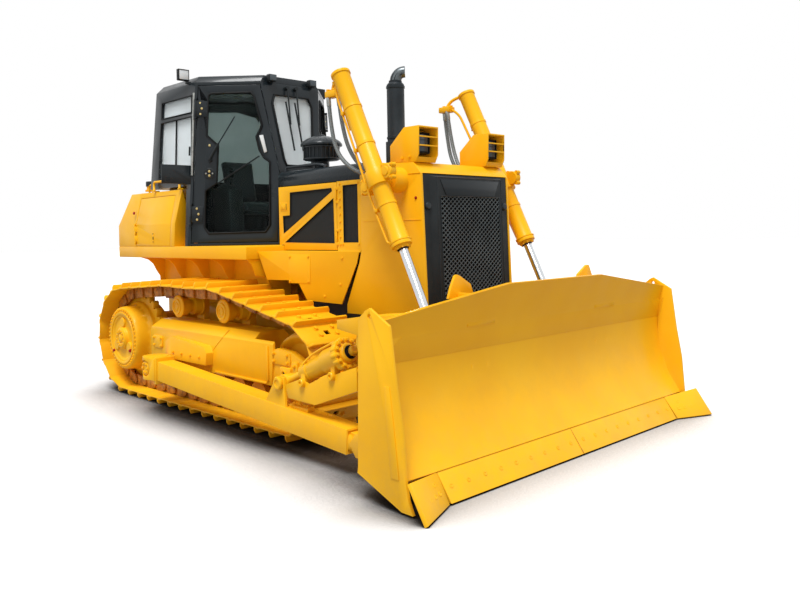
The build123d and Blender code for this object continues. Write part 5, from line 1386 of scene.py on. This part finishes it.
@dataclass
class Nose:
    """Lattice, header, knobs and headlamps of the machine's nose."""

    front: float = 1.490
    top: float = 1.974
    lean: float = math.radians(2.0)
    half: float = 0.341
    high: float = 0.164
    low: float = 0.920
    bars: int = 56
    layer: float = 0.0012
    slant: float = math.radians(38)
    lattice_depth: float = 0.0356
    lamp_rim: tuple[Flat, ...] = ((-0.462, 2.138), (-0.328, 2.138), (-0.328, 2.282), (-0.462, 2.282))

    def frame(self) -> Matrix:
        """Return the grille's frame: across, up and out."""
        out = Vector((math.cos(self.lean), 0, math.sin(self.lean)))
        across = Vector((0, 1, 0))
        turn = Matrix((across, out.cross(across), out)).transposed().to_4x4()
        return Matrix.Translation((self.front, 0, self.top)) @ turn

    def opening(self) -> list[Flat]:
        """Return the lattice opening's corners, across and up."""
        return [
            (-self.half, -self.low), (self.half, -self.low), (self.half, -self.high), (-self.half, -self.high)]

    def lattice(self) -> None:
        """Cross two sets of slanting bars over a near-black sheet of painted shade and trim them to the
        opening.
        """
        bars = []
        reach = self.half + self.low
        for sign in (-1, 1):
            bar = block("bar", (-reach, -0.0035, -0.0015), (reach, 0.0035, 0.0015), 0.0012)
            spots = []
            for n in range(self.bars):
                offset = -reach + 2 * reach * n / (self.bars - 1)
                middle = Matrix.Translation((offset, -(self.high + self.low) / 2, sign * self.layer))
                spots.append(middle @ Matrix.Rotation(sign * self.slant, 4, "Z"))
            bars.append(copies("bars", bar, spots))
        net = join("lattice", bars)
        with editing(net):
            for place, way in (
                    ((self.half, 0, 0), (1, 0, 0)), ((-self.half, 0, 0), (-1, 0, 0)),
                    ((0, -self.high, 0), (0, 1, 0)), ((0, -self.low, 0), (0, -1, 0))):
                bpy.ops.mesh.select_all(action="SELECT")
                bpy.ops.mesh.bisect(plane_co=place, plane_no=way, clear_outer=True, use_fill=True)
        frame = self.frame()
        dress(laid_at(net, frame @ Matrix.Translation((0, 0, self.lattice_depth))), Finish.LATTICE, "chassis")
        # Painted shade: this near-black sheet behind the bars stands for the dark depth of the grille.
        sheet = plate("lattice_back", self.opening(), Across.Z, 0.0321, 0.0326)
        dress(laid_at(sheet, frame), Finish.DEPTH, "chassis", 0)

    def header(self) -> None:
        """Put the blank header plate and the two knobs on the frame."""
        frame = self.frame()
        header = plate(
            "header", [(-0.340, -0.040), (0.340, -0.040), (0.280, -0.158), (-0.280, -0.158)], Across.Z, 0.037,
            0.043, 0.003)
        rim = strip(
            "rim", [(-0.372, -0.024, 0.036), (0.372, -0.024, 0.036), (0.372, -0.940, 0.036),
            (-0.372, -0.940, 0.036)], 0.005)
        trim = strip("rim", [(*corner, 0.037) for corner in reversed(self.opening())], 0.005)
        dress(laid_at(join("grille_header", [header, rim, trim]), frame), Finish.CAB, "chassis")
        knob = turned("grille_knobs", [(0, 0), (0.030, 0), (0.030, 0.010), (0.022, 0.018), (0, 0.020)], 28)
        both(laid_at(shifted(knob, -0.445, -0.235, 0.0), frame), Finish.CAB)

    def headlamps(self) -> None:
        """Fit lenses and rims to the headlamps, and bolts to their guards."""
        lens = block("lens", (1.4095, -0.450, 2.148), (1.4125, -0.340, 2.272), 0.001)
        both(lens, Finish.DIM_LENS)
        rim = strip("lamp_rim", [(1.411, y, z) for y, z in self.lamp_rim], 0.008)
        both(rim, Finish.RUBBER)
        spots = [frame_at((1.300, -0.502, 2.100), OUT), frame_at((1.380, -0.502, 2.105), OUT)]
        bolted("guard_bolts", 0.010, 0.010, spots, Finish.YELLOW)

    def seams(self) -> None:
        """Lay the weld lines and the cap's joint on the radiator guard."""
        lines = [
            strip("seam", [(0.860, -0.506, 1.640), (1.490, -0.506, 1.640)], 0.0025, False),
            strip("seam", [(1.210, -0.506, 1.981), (1.490, -0.506, 1.981)], 0.0035, False)]
        both(join("guard_seams", lines), Finish.YELLOW)
        spots = [frame_at((1.440, -0.505, z), OUT) for z in (1.800, 1.140)]
        bolted("guard_studs", 0.009, 0.008, spots, Finish.RED)

    def build(self) -> None:
        """Dress the nose."""
        self.lattice()
        self.header()
        self.headlamps()
        self.seams()


@dataclass
class Stacks:
    """Bands, ribs and the bright elbow of the exhaust and the pre-cleaner."""

    exhaust: Flat = (0.966, -0.235)
    cleaner: Flat = (0.068, -0.280)

    def build(self) -> None:
        """Dress the exhaust and the pre-cleaner."""
        x, y = self.exhaust
        rings = [
            turned("ring", [(0.0698, z), (0.0745, z + 0.002), (0.0745, z + 0.018), (0.0698, z + 0.020)], 48)
            for z in (2.290, 2.690)]
        rings.append(turned("ring", [(0.045, 2.738), (0.052, 2.740), (0.052, 2.752), (0.045, 2.754)], 40))
        dress(shifted(join("exhaust_rings", rings), x, y, 0), Finish.STACK, "chassis")
        bend = [
            (x + r * math.sqrt(0.5), y + r * math.sqrt(0.5), 2.746 + h)
            for r, h in ((0.0, -0.006), (0.0, 0.0), (0.004, 0.024), (0.016, 0.048), (0.034, 0.065),
            (0.054, 0.074), (0.076, 0.076))]
        dress(pipe("exhaust_elbow", bend, 0.0462), Finish.PIPE, "chassis", 60)
        # Painted shade: a near-black disc in the elbow's end stands for the dark hollow inside the pipe.
        mouth = turned("exhaust_mouth", [(0.0, -0.004), (0.040, -0.004), (0.040, 0.0015), (0.0, 0.0015)], 32)
        dress(aim(mouth, bend[-1], (1, 1, 0)), Finish.DEPTH, "chassis")
        x, y = self.cleaner
        rib = block("rib", (0.148, -0.004, 2.205), (0.158, 0.004, 2.296), 0.002)
        ribs = copies("ribs", rib, [Matrix.Rotation(math.tau * n / 28, 4, "Z") for n in range(28)])
        bands = [
            turned("band", [(0.148, z), (0.161, z), (0.161, z + 0.010), (0.148, z + 0.010)], 56)
            for z in (2.196, 2.296)]
        crown = turned(
            "crown", [(0.030, 2.400), (0.030, 2.409), (0.018, 2.413), (0.0, 2.414), (0.0, 2.400)], 32)
        dress(shifted(join("cleaner_ribs", [ribs, *bands, crown]), x, y, 0), Finish.CAB, "chassis")


@dataclass
class Rear:
    """The tank's body, and the fillers, eyes, bumpers and latches of the tank and the fender boxes."""

    tank_side: tuple[Flat, ...] = (
        (-2.653, 1.452), (-2.250, 1.452), (-2.250, 1.669), (-2.250, 1.998), (-2.454, 1.998), (-2.653, 1.669))
    tank_half: float = 0.900
    tank_lean: float = 0.065
    crease: float = 1.669
    step: tuple[Point, Point] = ((-2.2505, -0.610, 1.452), (-2.075, 0.610, 1.998))
    rounding: float = 0.008
    filler: Point = (-2.500, -0.600, 2.045)

    def tank(self) -> None:
        """Build the tank: sloped back, sides leaning in above the crease, and the step before it."""
        piece = plate("tank_body", list(self.tank_side), Across.Y, -self.tank_half, self.tank_half)
        for corner in piece.data.vertices:
            if corner.co.z > self.crease + 0.01:
                corner.co.y -= math.copysign(self.tank_lean, corner.co.y)
        with editing(piece):
            bpy.ops.mesh.convex_hull()
            bpy.ops.mesh.dissolve_limited(angle_limit=FLAT_WITHIN)
        soften(piece, self.rounding)
        shell = join("fuel_tank_shell", [piece, block("tank_step", *self.step, self.rounding)])
        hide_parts("fuel_tank")
        dress(shell, Finish.YELLOW, "chassis")

    def build(self) -> None:
        """Dress the tank and both boxes."""
        self.tank()
        cap = turned("filler_cap", [(0, 0.046), (0.046, 0.046), (0.046, 0.090), (0.040, 0.100), (0, 0.104)], 32)
        dress(shifted(cap, *self.filler), Finish.BLACK, "chassis")
        neck = turned(
            "filler_neck", [(0, -0.01), (0.054, -0.01), (0.054, 0.010), (0.038, 0.012), (0.038, 0.048),
            (0, 0.048)], 32)
        dress(shifted(neck, *self.filler), Finish.YELLOW, "chassis")
        eye = strip(
            "lift_eye", [(-2.200, -0.760, 1.990), (-2.200, -0.760, 2.070), (-2.160, -0.760, 2.086),
            (-2.130, -0.760, 2.070), (-2.130, -0.760, 1.990)], 0.010, False)
        both(eye, Finish.YELLOW)
        latch = block("latch", (-1.880, -0.9035, 1.490), (-1.850, -0.899, 1.586), 0.002)
        both(latch, Finish.YELLOW, "box_door_{}")
        # Painted shade: black blocks stand for the shaded slots in the box door's latch.
        slots = [
            block("slot", (-1.873, -0.9055, z), (-1.857, -0.902, z + h), 0.001)
            for z, h in ((1.572, 0.010), (1.520, 0.030), (1.494, 0.006))]
        both(join("latch_slots", slots), Finish.RUBBER, "box_door_{}")
        pad = turned("bumpers", [(0, 0), (0.016, 0), (0.014, 0.012), (0, 0.014)], 20)
        both(aim(pad, (-2.300, -0.884, 1.795), (0, -1, 0.2)), Finish.RED)


@dataclass
class Cab:
    """Seals, hinges, handles, wipers, lamps and frames of the cab."""

    turn: float = math.radians(43.9)
    lean: float = math.atan(0.02)
    foot: Point = (-1.246, -0.864, 1.452)
    wall_lean: float = 0.06
    front_lean: float = 0.1502
    brow: Flat = (-0.620, 2.156)
    window: tuple[Flat, ...] = (
        (0.225, 2.872), (0.250, 2.889), (0.627, 2.891), (0.656, 2.852), (0.726, 2.581), (0.704, 2.527),
        (0.670, 2.474), (0.700, 2.344), (0.742, 2.273), (0.794, 2.234), (0.786, 1.640), (0.739, 1.576),
        (0.204, 1.569), (0.161, 1.630), (0.177, 1.976), (0.285, 2.044), (0.308, 2.396), (0.201, 2.495))
    front_window: tuple[Flat, ...] = (
        (-0.150, 2.205), (-0.172, 2.268), (-0.235, 2.795), (-0.200, 2.880), (0.200, 2.880), (0.235, 2.795),
        (0.172, 2.268), (0.150, 2.205))
    panes: tuple[tuple[Flat, ...], ...] = (
        ((-1.860, 2.125), (-1.212, 2.125), (-1.240, 2.680), (-1.838, 2.680)),
        ((-1.836, 2.720), (-1.242, 2.720), (-1.249, 2.880), (-1.832, 2.880)))

    def door_axes(self) -> tuple[Vector, Vector, Vector]:
        """Return the right door's directions: along it, up it and outward."""
        flat = math.cos(self.lean)
        along = Vector((math.cos(self.turn), math.sin(self.turn), 0))
        normal = Vector((math.sin(self.turn) * flat, -math.cos(self.turn) * flat, math.sin(self.lean)))
        return along, normal.cross(along), normal

    def door(self, u: float, z: float, out: float = 0.0) -> Vector:
        """Return a point over the right door's outer face, along it and at a height."""
        along, up, normal = self.door_axes()
        return Vector(self.foot) + along * u + up * ((z - self.foot[2]) / math.cos(self.lean)) + normal * out

    def door_frame(self, u: float, z: float, out: float = 0.0) -> Matrix:
        """Return the frame that stands on the right door at a point over its outer face."""
        return frame_at(self.door(u, z, out), self.door_axes()[2])

    def wall(self, x: float, z: float, out: float = 0.0) -> Vector:
        """Return a point over the right side wall."""
        return Vector((x, self.foot[1] + self.wall_lean * (z - self.foot[2]) - out, z))

    def front(self, y: float, z: float, out: float = 0.0) -> Vector:
        """Return a point over the front wall."""
        return Vector((self.brow[0] - self.front_lean * (z - self.brow[1]) + out, y, z))

    def slab_on_door(
            self, name: str, corners: list[Flat], low: float, high: float, width: float = 0.002) -> Piece:
        """Make a plate over the door from (u, z) corners, between two distances off its face."""
        frame = Matrix.Translation(self.foot) @ Matrix(self.door_axes()).transposed().to_4x4()
        return laid_at(
            plate(name, [(u, z - self.foot[2]) for u, z in corners], Across.Z, low, high, width), frame)

    def doors(self) -> None:
        """Dress the doors: seals, hinge plates, catches, handles, bolts and wipers."""
        both(
            strip("door_seals", [self.door(u, z, 0.002) for u, z in self.window], 0.011), Finish.RUBBER,
            "cab_door_{}", 60)
        plates = [
            self.slab_on_door("hinge", [(u - 0.045, z - 0.075), (u + 0.045, z - 0.075), (u + 0.045, z + 0.075),
            (u - 0.045, z + 0.075)], 0.0, 0.010) for u, z in ((0.138, 2.748), (0.085, 1.754))]
        catch = laid_at(
            turned("catch", [(0, 0), (0.052, 0), (0.052, 0.006), (0.046, 0.010), (0, 0.010)], 32),
            self.door_frame(0.219, 2.135))
        both(join("door_plates", [*plates, catch]), Finish.BLACK, "cab_door_{}")
        spots = [
            self.door_frame(u + dx, z + dz, 0.010) for u, z in ((0.150, 2.748), (0.098, 1.754))
            for dx, dz in ((-0.004, 0.052), (0.010, 0.0), (-0.004, -0.052))]
        spots += [self.door_frame(0.219 + dx, 2.135 + dz, 0.010) for dx, dz in ((0, 0.020), (0, -0.020))]
        spots.append(self.door_frame(0.225, 2.400))
        both(copies("door_bolts", round_bolt(0.0125, 0.009), spots), Finish.BRASS, "cab_door_{}")
        small = [self.door_frame(0.219 + dx, 2.135, 0.010) for dx in (-0.032, 0.032)]
        both(copies("catch_bolts", round_bolt(0.008, 0.006), small), Finish.ZINC, "cab_door_{}")
        grip = self.slab_on_door(
            "grips", [(0.700, 2.484), (0.738, 2.488), (0.772, 2.330), (0.746, 2.318)], 0.001, 0.018, 0.005)
        both(grip, Finish.WHITE, "cab_door_{}")
        arm = pipe(
            "arm", [self.door(0.235, 2.273, 0.010), self.door(0.240, 2.290, 0.034),
            self.door(0.345, 2.450, 0.038), self.door(0.477, 2.662, 0.030)], 0.006)
        sleeve = strip("sleeve", [self.door(0.228, 2.262, 0.030), self.door(0.318, 2.412, 0.036)], 0.013, False)
        pivot = laid_at(
            turned("pivot", [(0, 0), (0.020, 0), (0.018, 0.034), (0, 0.036)], 20),
            self.door_frame(0.230, 2.262))
        blade = strip("wiper", [self.door(0.300, 2.040, 0.016), self.door(0.700, 2.290, 0.016)], 0.007, False)
        both(join("door_wipers", [arm, sleeve, pivot, blade]), Finish.BLACK, "cab_door_{}")

    def windows(self) -> None:
        """Dress the side and front windows: seals, sliding rails, latches and wipers."""
        seals = [strip("seal", [self.wall(x, z, 0.002) for x, z in pane], 0.009) for pane in self.panes]
        rail = strip("seal", [self.wall(-1.545, 2.128, -0.012), self.wall(-1.560, 2.678, -0.012)], 0.008, False)
        both(join("window_seals", [*seals, rail]), Finish.RUBBER, "chassis", 60)
        grips = [
            strip("grip", [self.wall(x, z, 0.010), self.wall(x, z + 0.085, 0.010)], 0.009, False)
            for x, z in ((-1.250, 2.310), (-1.830, 2.310))]
        both(join("pane_grips", grips), Finish.BLACK)
        dress(
            strip("front_seal", [self.front(y, z, 0.002) for y, z in self.front_window], 0.010), Finish.RUBBER,
            "chassis", 60)
        wipers = []
        for y in (0.045, -0.060):
            wipers.append(
                strip("wiper", [self.front(y, 2.960, 0.030), self.front(y - 0.010, 2.600, 0.030)], 0.008,
                False))
            wipers.append(
                strip("wiper", [self.front(y - 0.030, 2.820, 0.018), self.front(y + 0.010, 2.350, 0.018)],
                0.009, False))
            wipers.append(
                aim(turned("pivot", [(0, 0), (0.022, 0), (0.020, 0.036), (0, 0.038)], 20), self.front(y, 2.955),
                (1, 0, 0.15)))
        dress(join("front_wipers", wipers), Finish.BLACK, "chassis")

    def roof(self) -> None:
        """Fit lenses and a rim to the roof's lamps."""
        dress(
            block("side_lamp_lens", (-1.3045, -0.876, 3.036), (-1.3025, -0.781, 3.122), 0.001), Finish.LENS,
            "chassis")
        corners = ((-0.880, 3.031), (-0.777, 3.031), (-0.777, 3.127), (-0.880, 3.127))
        dress(strip("side_lamp_rim", [(-1.304, y, z) for y, z in corners], 0.005), Finish.RUBBER, "chassis")
        both(block("roof_lenses", (-0.6895, -0.274, 3.006), (-0.6875, -0.201, 3.058), 0.0005), Finish.DIM_LENS)

    def fittings(self) -> None:
        """Add the catch brackets and the strips on the pillars behind the doors."""
        bracket = block("brackets", (-1.335, -0.905, 2.040), (-1.240, -0.830, 2.215), 0.006)
        both(bracket, Finish.BLACK)
        tape = strip(
            "pillar_strips", [self.wall(-1.208, 2.120, 0.002), self.wall(-1.212, 2.900, 0.002)], 0.011, False)
        both(tape, Finish.ZINC)

    def build(self) -> None:
        """Dress the cab."""
        self.doors()
        self.windows()
        self.roof()
        self.fittings()


@dataclass
class Seat:
    """Padded seat on its pedestal, with armrests and levers."""

    x: float = -1.450
    floor: float = 1.478
    rounding: float = 0.030
    voxel: float = 0.012
    pressure: float = 4.0
    steps: int = 12
    swell: float = 0.014

    def pad(self, name: str, low: Point, high: Point, lean: float) -> Piece:
        """Blow up a box of cloth a little, leaned about its low rear edge.

        Args:
            name: Name of the pad.
            low: Lowest corner.
            high: Highest corner.
            lean: Angle that it leans back, in degrees.

        Returns:
            The pad.
        """
        pad = shaped(block(name, low, high, self.rounding), "REMESH", mode="VOXEL", voxel_size=self.voxel)
        before = [corner.co.copy() for corner in pad.data.vertices]
        cloth = pad.modifiers.new("swell", "CLOTH")
        cloth.settings.use_pressure = True
        cloth.settings.uniform_pressure_force = self.pressure
        cloth.settings.effector_weights.gravity = 0.0
        for step in range(1, self.steps + 1):
            bpy.context.scene.frame_set(step)
        bpy.ops.object.modifier_apply(modifier="swell")
        for corner, start in zip(pad.data.vertices, before):
            shift = corner.co - start
            if shift.length > self.swell:
                corner.co = start + shift * (self.swell / shift.length)
        bpy.context.scene.frame_set(1)
        pivot = Vector((low[0], 0, low[2]))
        leaned = Matrix.Rotation(math.radians(lean), 4, "Y")
        pad.data.transform(Matrix.Translation(pivot) @ leaned @ Matrix.Translation(-pivot))
        return pad

    def build(self) -> None:
        """Build the seat and stand it for its plain solid."""
        x = self.x
        cushion = self.pad("seat_cushion", (x - 0.14, -0.225, 1.785), (x + 0.235, 0.225, 1.870), 0)
        back = self.pad("seat_back", (x - 0.235, -0.190, 1.880), (x - 0.155, 0.190, 2.330), -11)
        for piece in (cushion, back):
            dress(piece, Finish.SEAT, "chassis", 60)
            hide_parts("seat")
        base = turned(
            "pedestal", [(0, self.floor), (0.16, self.floor), (0.15, self.floor + 0.05), (0.11, 1.60),
            (0.14, 1.74), (0.17, 1.775), (0, 1.775)], 32)
        shifted(base, x, 0, 0)
        shell = block("shell", (x - 0.150, -0.235, 1.755), (x + 0.245, 0.235, 1.785), 0.010)
        dress(join("seat_base", [base, shell]), Finish.TRIM, "chassis")
        levers = []
        for side in (-1, 1):
            rod = pipe(
                "lever", [(x + 0.220, side * 0.395, 2.020), (x + 0.230, side * 0.395, 2.080),
                (x + 0.240, side * 0.390, 2.120)], 0.010)
            grip = turned(
                "grip", [(0, 0), (0.018, 0), (0.022, 0.020), (0.020, 0.075), (0.010, 0.095), (0, 0.098)], 20)
            shifted(grip, x + 0.240, side * 0.390, 2.110)
            rest = block(
                "rest", (x - 0.080, side * 0.395 - 0.045, 2.030), (x + 0.150, side * 0.395 + 0.045, 2.062),
                0.014)
            levers += [rod, grip, rest]
        dress(join("levers", levers), Finish.BLACK, "chassis")


@dataclass
class Hoses:
    """The braided hoses between the guard and the lift cylinders' heads."""

    bore: float = 0.032
    routes: tuple[tuple[Point, ...], ...] = (
        ((0.662, -0.672, 2.600), (0.672, -0.672, 2.500), (0.695, -0.672, 2.360), (0.725, -0.668, 2.230),
         (0.790, -0.655, 2.120), (0.900, -0.630, 2.035), (1.010, -0.585, 1.985), (1.085, -0.529, 1.950)),
        ((0.735, -0.630, 2.600), (0.750, -0.630, 2.500), (0.775, -0.628, 2.380), (0.815, -0.622, 2.240),
         (0.880, -0.605, 2.120), (0.970, -0.580, 2.035), (1.050, -0.560, 1.985), (1.130, -0.529, 1.925)))

    def build(self) -> None:
        """Run the hoses from the guard up to the head blocks on both sides."""
        self.fittings()
        for side in Side:
            for n, route in enumerate(self.routes, 1):
                points = [(x, -y * side.value, z) for x, y, z in reversed(route)]
                hose = round_line(f"lift_hose_{side.word}_{n}", points, self.bore / 2, PIPE_RING, HOSE_STEPS)
                dress(hose, Finish.HOSE, f"lift_barrel_{side.word}", 0)
                tip = bpy.data.objects[f"hose_tip_{n}_{side.word}"]

    def fittings(self) -> None:
        """Make the end fittings and the head blocks on both sides."""
        for n, route in enumerate(self.routes, 1):
            for name, tip, other in (
                    (f"hose_tip_{n}", route[0], route[1]), (f"hose_foot_{n}", route[-1], route[-2])):
                way = (Vector(other) - Vector(tip)).normalized()
                profile = [
                    (0, -0.020), (0.019, -0.020), (0.019, 0.0), (0.0185, 0.002), (0.0185, 0.050),
                    (0.0165, 0.054), (0, 0.054)]
                both(aim(turned(name, profile, 20), tip, way), Finish.ZINC, "lift_barrel_{}")
        head = block("head", (0.640, -0.695, 2.612), (0.765, -0.612, 2.662), 0.008)
        bolts = [
            block("stud", (x - 0.012, -0.690, 2.660), (x + 0.012, -0.650, 2.678), 0.004)
            for x in (0.665, 0.735)]
        run = pipe(
            "run", [(0.700, -0.660, 2.655), (0.720, -0.670, 2.700), (0.780, -0.690, 2.735),
            (0.830, -0.705, 2.745)], 0.014)
        lower = pipe(
            "run", [(0.745, -0.660, 2.640), (0.820, -0.680, 2.600), (0.880, -0.690, 2.480),
            (0.955, -0.700, 2.330)], 0.011)
        both(join("hose_heads", [head, *bolts, run, lower]), Finish.YELLOW, "lift_barrel_{}")


# ---------------------------------------------------------------- frame skins


@dataclass
class Skins:
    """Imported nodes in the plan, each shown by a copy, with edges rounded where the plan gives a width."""

    frame: dict
    rail_split: float = -0.70
    plan: dict[tuple[Finish, float], tuple[str, ...]] = field(default_factory=lambda: {
        (Finish.YELLOW, 0.004): ("blade", "radiator_guard"),
        (Finish.YELLOW, 0.003): (
            "cutting_edge", "brace", "headlamp_guards", "lift_barrel_left", "lift_barrel_right", "tilt_barrel"),
        (Finish.YELLOW, 0.001): ("box_door_right", "box_door_left"),
        (Finish.CAB, 0.003): ("cab_door_left", "cab_door_right", "hood"),
        (Finish.PANE, 0.0): ("cab_glass",),
        (Finish.CAB, 0.006): ("cab_roof",),
        (Finish.CAB, 0.004): ("cab_shell",),
        (Finish.TRIM, 0.02): ("console",),
        (Finish.GLASS, 0.0): ("door_glass_left", "door_glass_right"),
        (Finish.ENGINE, 0.02): ("engine_block",),
        (Finish.STACK, 0.002): ("exhaust",),
        (Finish.YELLOW, 0.006): (
            "fender_boxes", "main_frame", "platform", "push_arm_left", "push_arm_right", "track_frames"),
        (Finish.BLACK, 0.003): ("grille",),
        (Finish.YELLOW, 0.0): ("handrails",),
        (Finish.BLACK, 0.004): ("headlamps",),
        (Finish.YELLOW, 0.002): ("hood_door_left", "hood_door_right", "side_panels"),
        (Finish.TRACK, 0.004): ("idlers",),
        (Finish.CHROME, 0.001): ("lift_rod_left", "lift_rod_right"),
        (Finish.CAB, 0.002): ("pre_cleaner",),
        (Finish.ENGINE, 0.006): ("radiator",),
        (Finish.BLACK, 0.006): ("roof_lamps",),
        (Finish.TRACK, 0.003): ("sprockets", "track_rollers"),
        (Finish.CHROME, 0.002): ("tilt_rod",),
    })

    def body_of(self, node: str) -> str:
        """Return the body that a node rides on."""
        bodies = self.frame["record"]["behaviour"]["bodies"]
        return next(body for body, nodes in bodies.items() if node in nodes)

    def build(self) -> None:
        """Copy each planned node, round its edges where the plan gives a width, and let the copy stand for it.
        """
        looks = {node: look for look, nodes in self.plan.items() for node in nodes}
        for node, (finish, width) in sorted(looks.items()):
            skin = tidy_faces(twin_of(self.frame["nodes"][node], Matrix.Identity(4)))
            skin.name = node + "_skin"
            if width:
                with editing(skin):
                    bpy.ops.mesh.dissolve_limited(angle_limit=FLAT_WITHIN)
                soften(skin, width)
            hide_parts(node)
            dress(skin, finish, self.body_of(node))
            if node == "handrails":
                skin.data.materials.append(MATERIALS[Finish.CAB])
                for face in skin.data.polygons:
                    face.material_index = int(face.center.x > self.rail_split)


@dataclass
class Studio:
    """Camera, lamps, sky and floor."""

    eye: Point = (5.4749, -4.5901, 1.5555)
    turn: float = 0.800814
    dip: float = 0.0305556
    roll: float = -0.0182906
    lens: float = 35.28
    shift: float = -0.0556
    sky: float = 0.62
    sun: float = 3.0
    sun_turn: Point = (math.radians(22), math.radians(14), 0)
    sun_spread: float = math.radians(24)
    floor_size: float = 160.0
    shade_reach: float = 0.95
    shade_span: Flat = (0.45, 0.95)
    bounce_grey: float = 0.36
    seen_grey: float = 0.93
    shade_grey: float = 0.01

    def camera(self) -> None:
        """Stand the camera where it sees the machine's right front corner."""
        level = math.cos(self.dip)
        ahead = Vector((-math.sin(self.turn) * level, math.cos(self.turn) * level, -math.sin(self.dip)))
        right = Vector((math.cos(self.turn), math.sin(self.turn), 0))
        up = right.cross(ahead)
        side = right * math.cos(self.roll) + up * math.sin(self.roll)
        top = up * math.cos(self.roll) - right * math.sin(self.roll)
        bpy.ops.object.camera_add(location=self.eye)
        camera = bpy.context.object
        camera.matrix_world = Matrix.Translation(self.eye) @ Matrix((side, top, -ahead)).transposed().to_4x4()
        camera.data.lens = self.lens
        camera.data.sensor_width = 36.0
        camera.data.shift_y = self.shift
        camera.data.clip_end = 200.0
        bpy.context.scene.camera = camera

    def light(self) -> None:
        """Hang a soft key lamp and an even sky that shows white."""
        bpy.ops.object.light_add(type="SUN", rotation=self.sun_turn)
        bpy.context.object.data.energy = self.sun
        bpy.context.object.data.angle = self.sun_spread
        world = bpy.data.worlds.new("sky")
        bpy.context.scene.world = world
        world.use_nodes = True
        nodes, links = world.node_tree.nodes, world.node_tree.links
        plain = nodes["Background"]
        plain.inputs["Color"].default_value = (1, 1, 1, 1)
        plain.inputs["Strength"].default_value = self.sky
        seen = nodes.new("ShaderNodeBackground")
        seen.inputs["Color"].default_value = (1, 1, 1, 1)
        rays = nodes.new("ShaderNodeLightPath")
        share = rays.outputs["Is Camera Ray"]
        for kind in ("Is Glossy Ray", "Is Transmission Ray"):
            either = nodes.new("ShaderNodeMath")
            either.operation = "MAXIMUM"
            links.new(share, either.inputs[0])
            links.new(rays.outputs[kind], either.inputs[1])
            share = either.outputs[0]
        blend = nodes.new("ShaderNodeMixShader")
        links.new(share, blend.inputs["Fac"])
        links.new(plain.outputs[0], blend.inputs[1])
        links.new(seen.outputs[0], blend.inputs[2])
        links.new(blend.outputs[0], nodes["World Output"].inputs["Surface"])

    def floor(self) -> None:
        """Lay a wide pale floor that keeps the machine's shadow, with painted shade: an ambient-occlusion mask
        darkens its colour near the machine.
        """
        bpy.ops.mesh.primitive_plane_add(size=self.floor_size, location=ORIGIN)
        floor = bpy.context.object
        floor.name = "studio_floor"
        wiring = Wiring("pale_floor")
        rays = wiring.node("LightPath")
        seen = wiring.node("Math", operation="MAXIMUM")
        wiring.link(rays.outputs["Is Camera Ray"], seen.inputs[0])
        wiring.link(rays.outputs["Is Transmission Ray"], seen.inputs[1])
        # Painted shade: the ambient-occlusion mask darkens the floor's colour near the machine into a painted
        # contact shadow, over the sun's real shadow.
        near = wiring.node("AmbientOcclusion", samples=8)
        near.inputs["Distance"].default_value = self.shade_reach
        dark, bounce, pale = (
            (grey, grey, grey, 1) for grey in (self.shade_grey, self.bounce_grey, self.seen_grey))
        shade = wiring.mix(wiring.span(near.outputs["AO"], *self.shade_span, 0.0, 1.0), dark, pale)
        wiring.colour(seen.outputs[0], bounce, shade)
        wiring.fill(Roughness=0.9, Specular_IOR_Level=0.1)
        floor.data.materials.append(wiring.material)

    def build(self) -> None:
        """Set up the whole studio."""
        self.camera()
        self.light()
        self.floor()
        bpy.context.scene.view_settings.view_transform = "Standard"


def main() -> None:
    """Build the machine's looks in order."""
    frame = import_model()
    drop_selection()
    Studio().build()
    Hoses().build()
    Skins(frame).build()
    for group in (
            Tracks, Undercarriage, Arms, BladeFittings, LiftCylinders, Engine, Nose, Stacks, Rear, Cab, Seat):
        group().build()


if __name__ == "__main__":
    main()
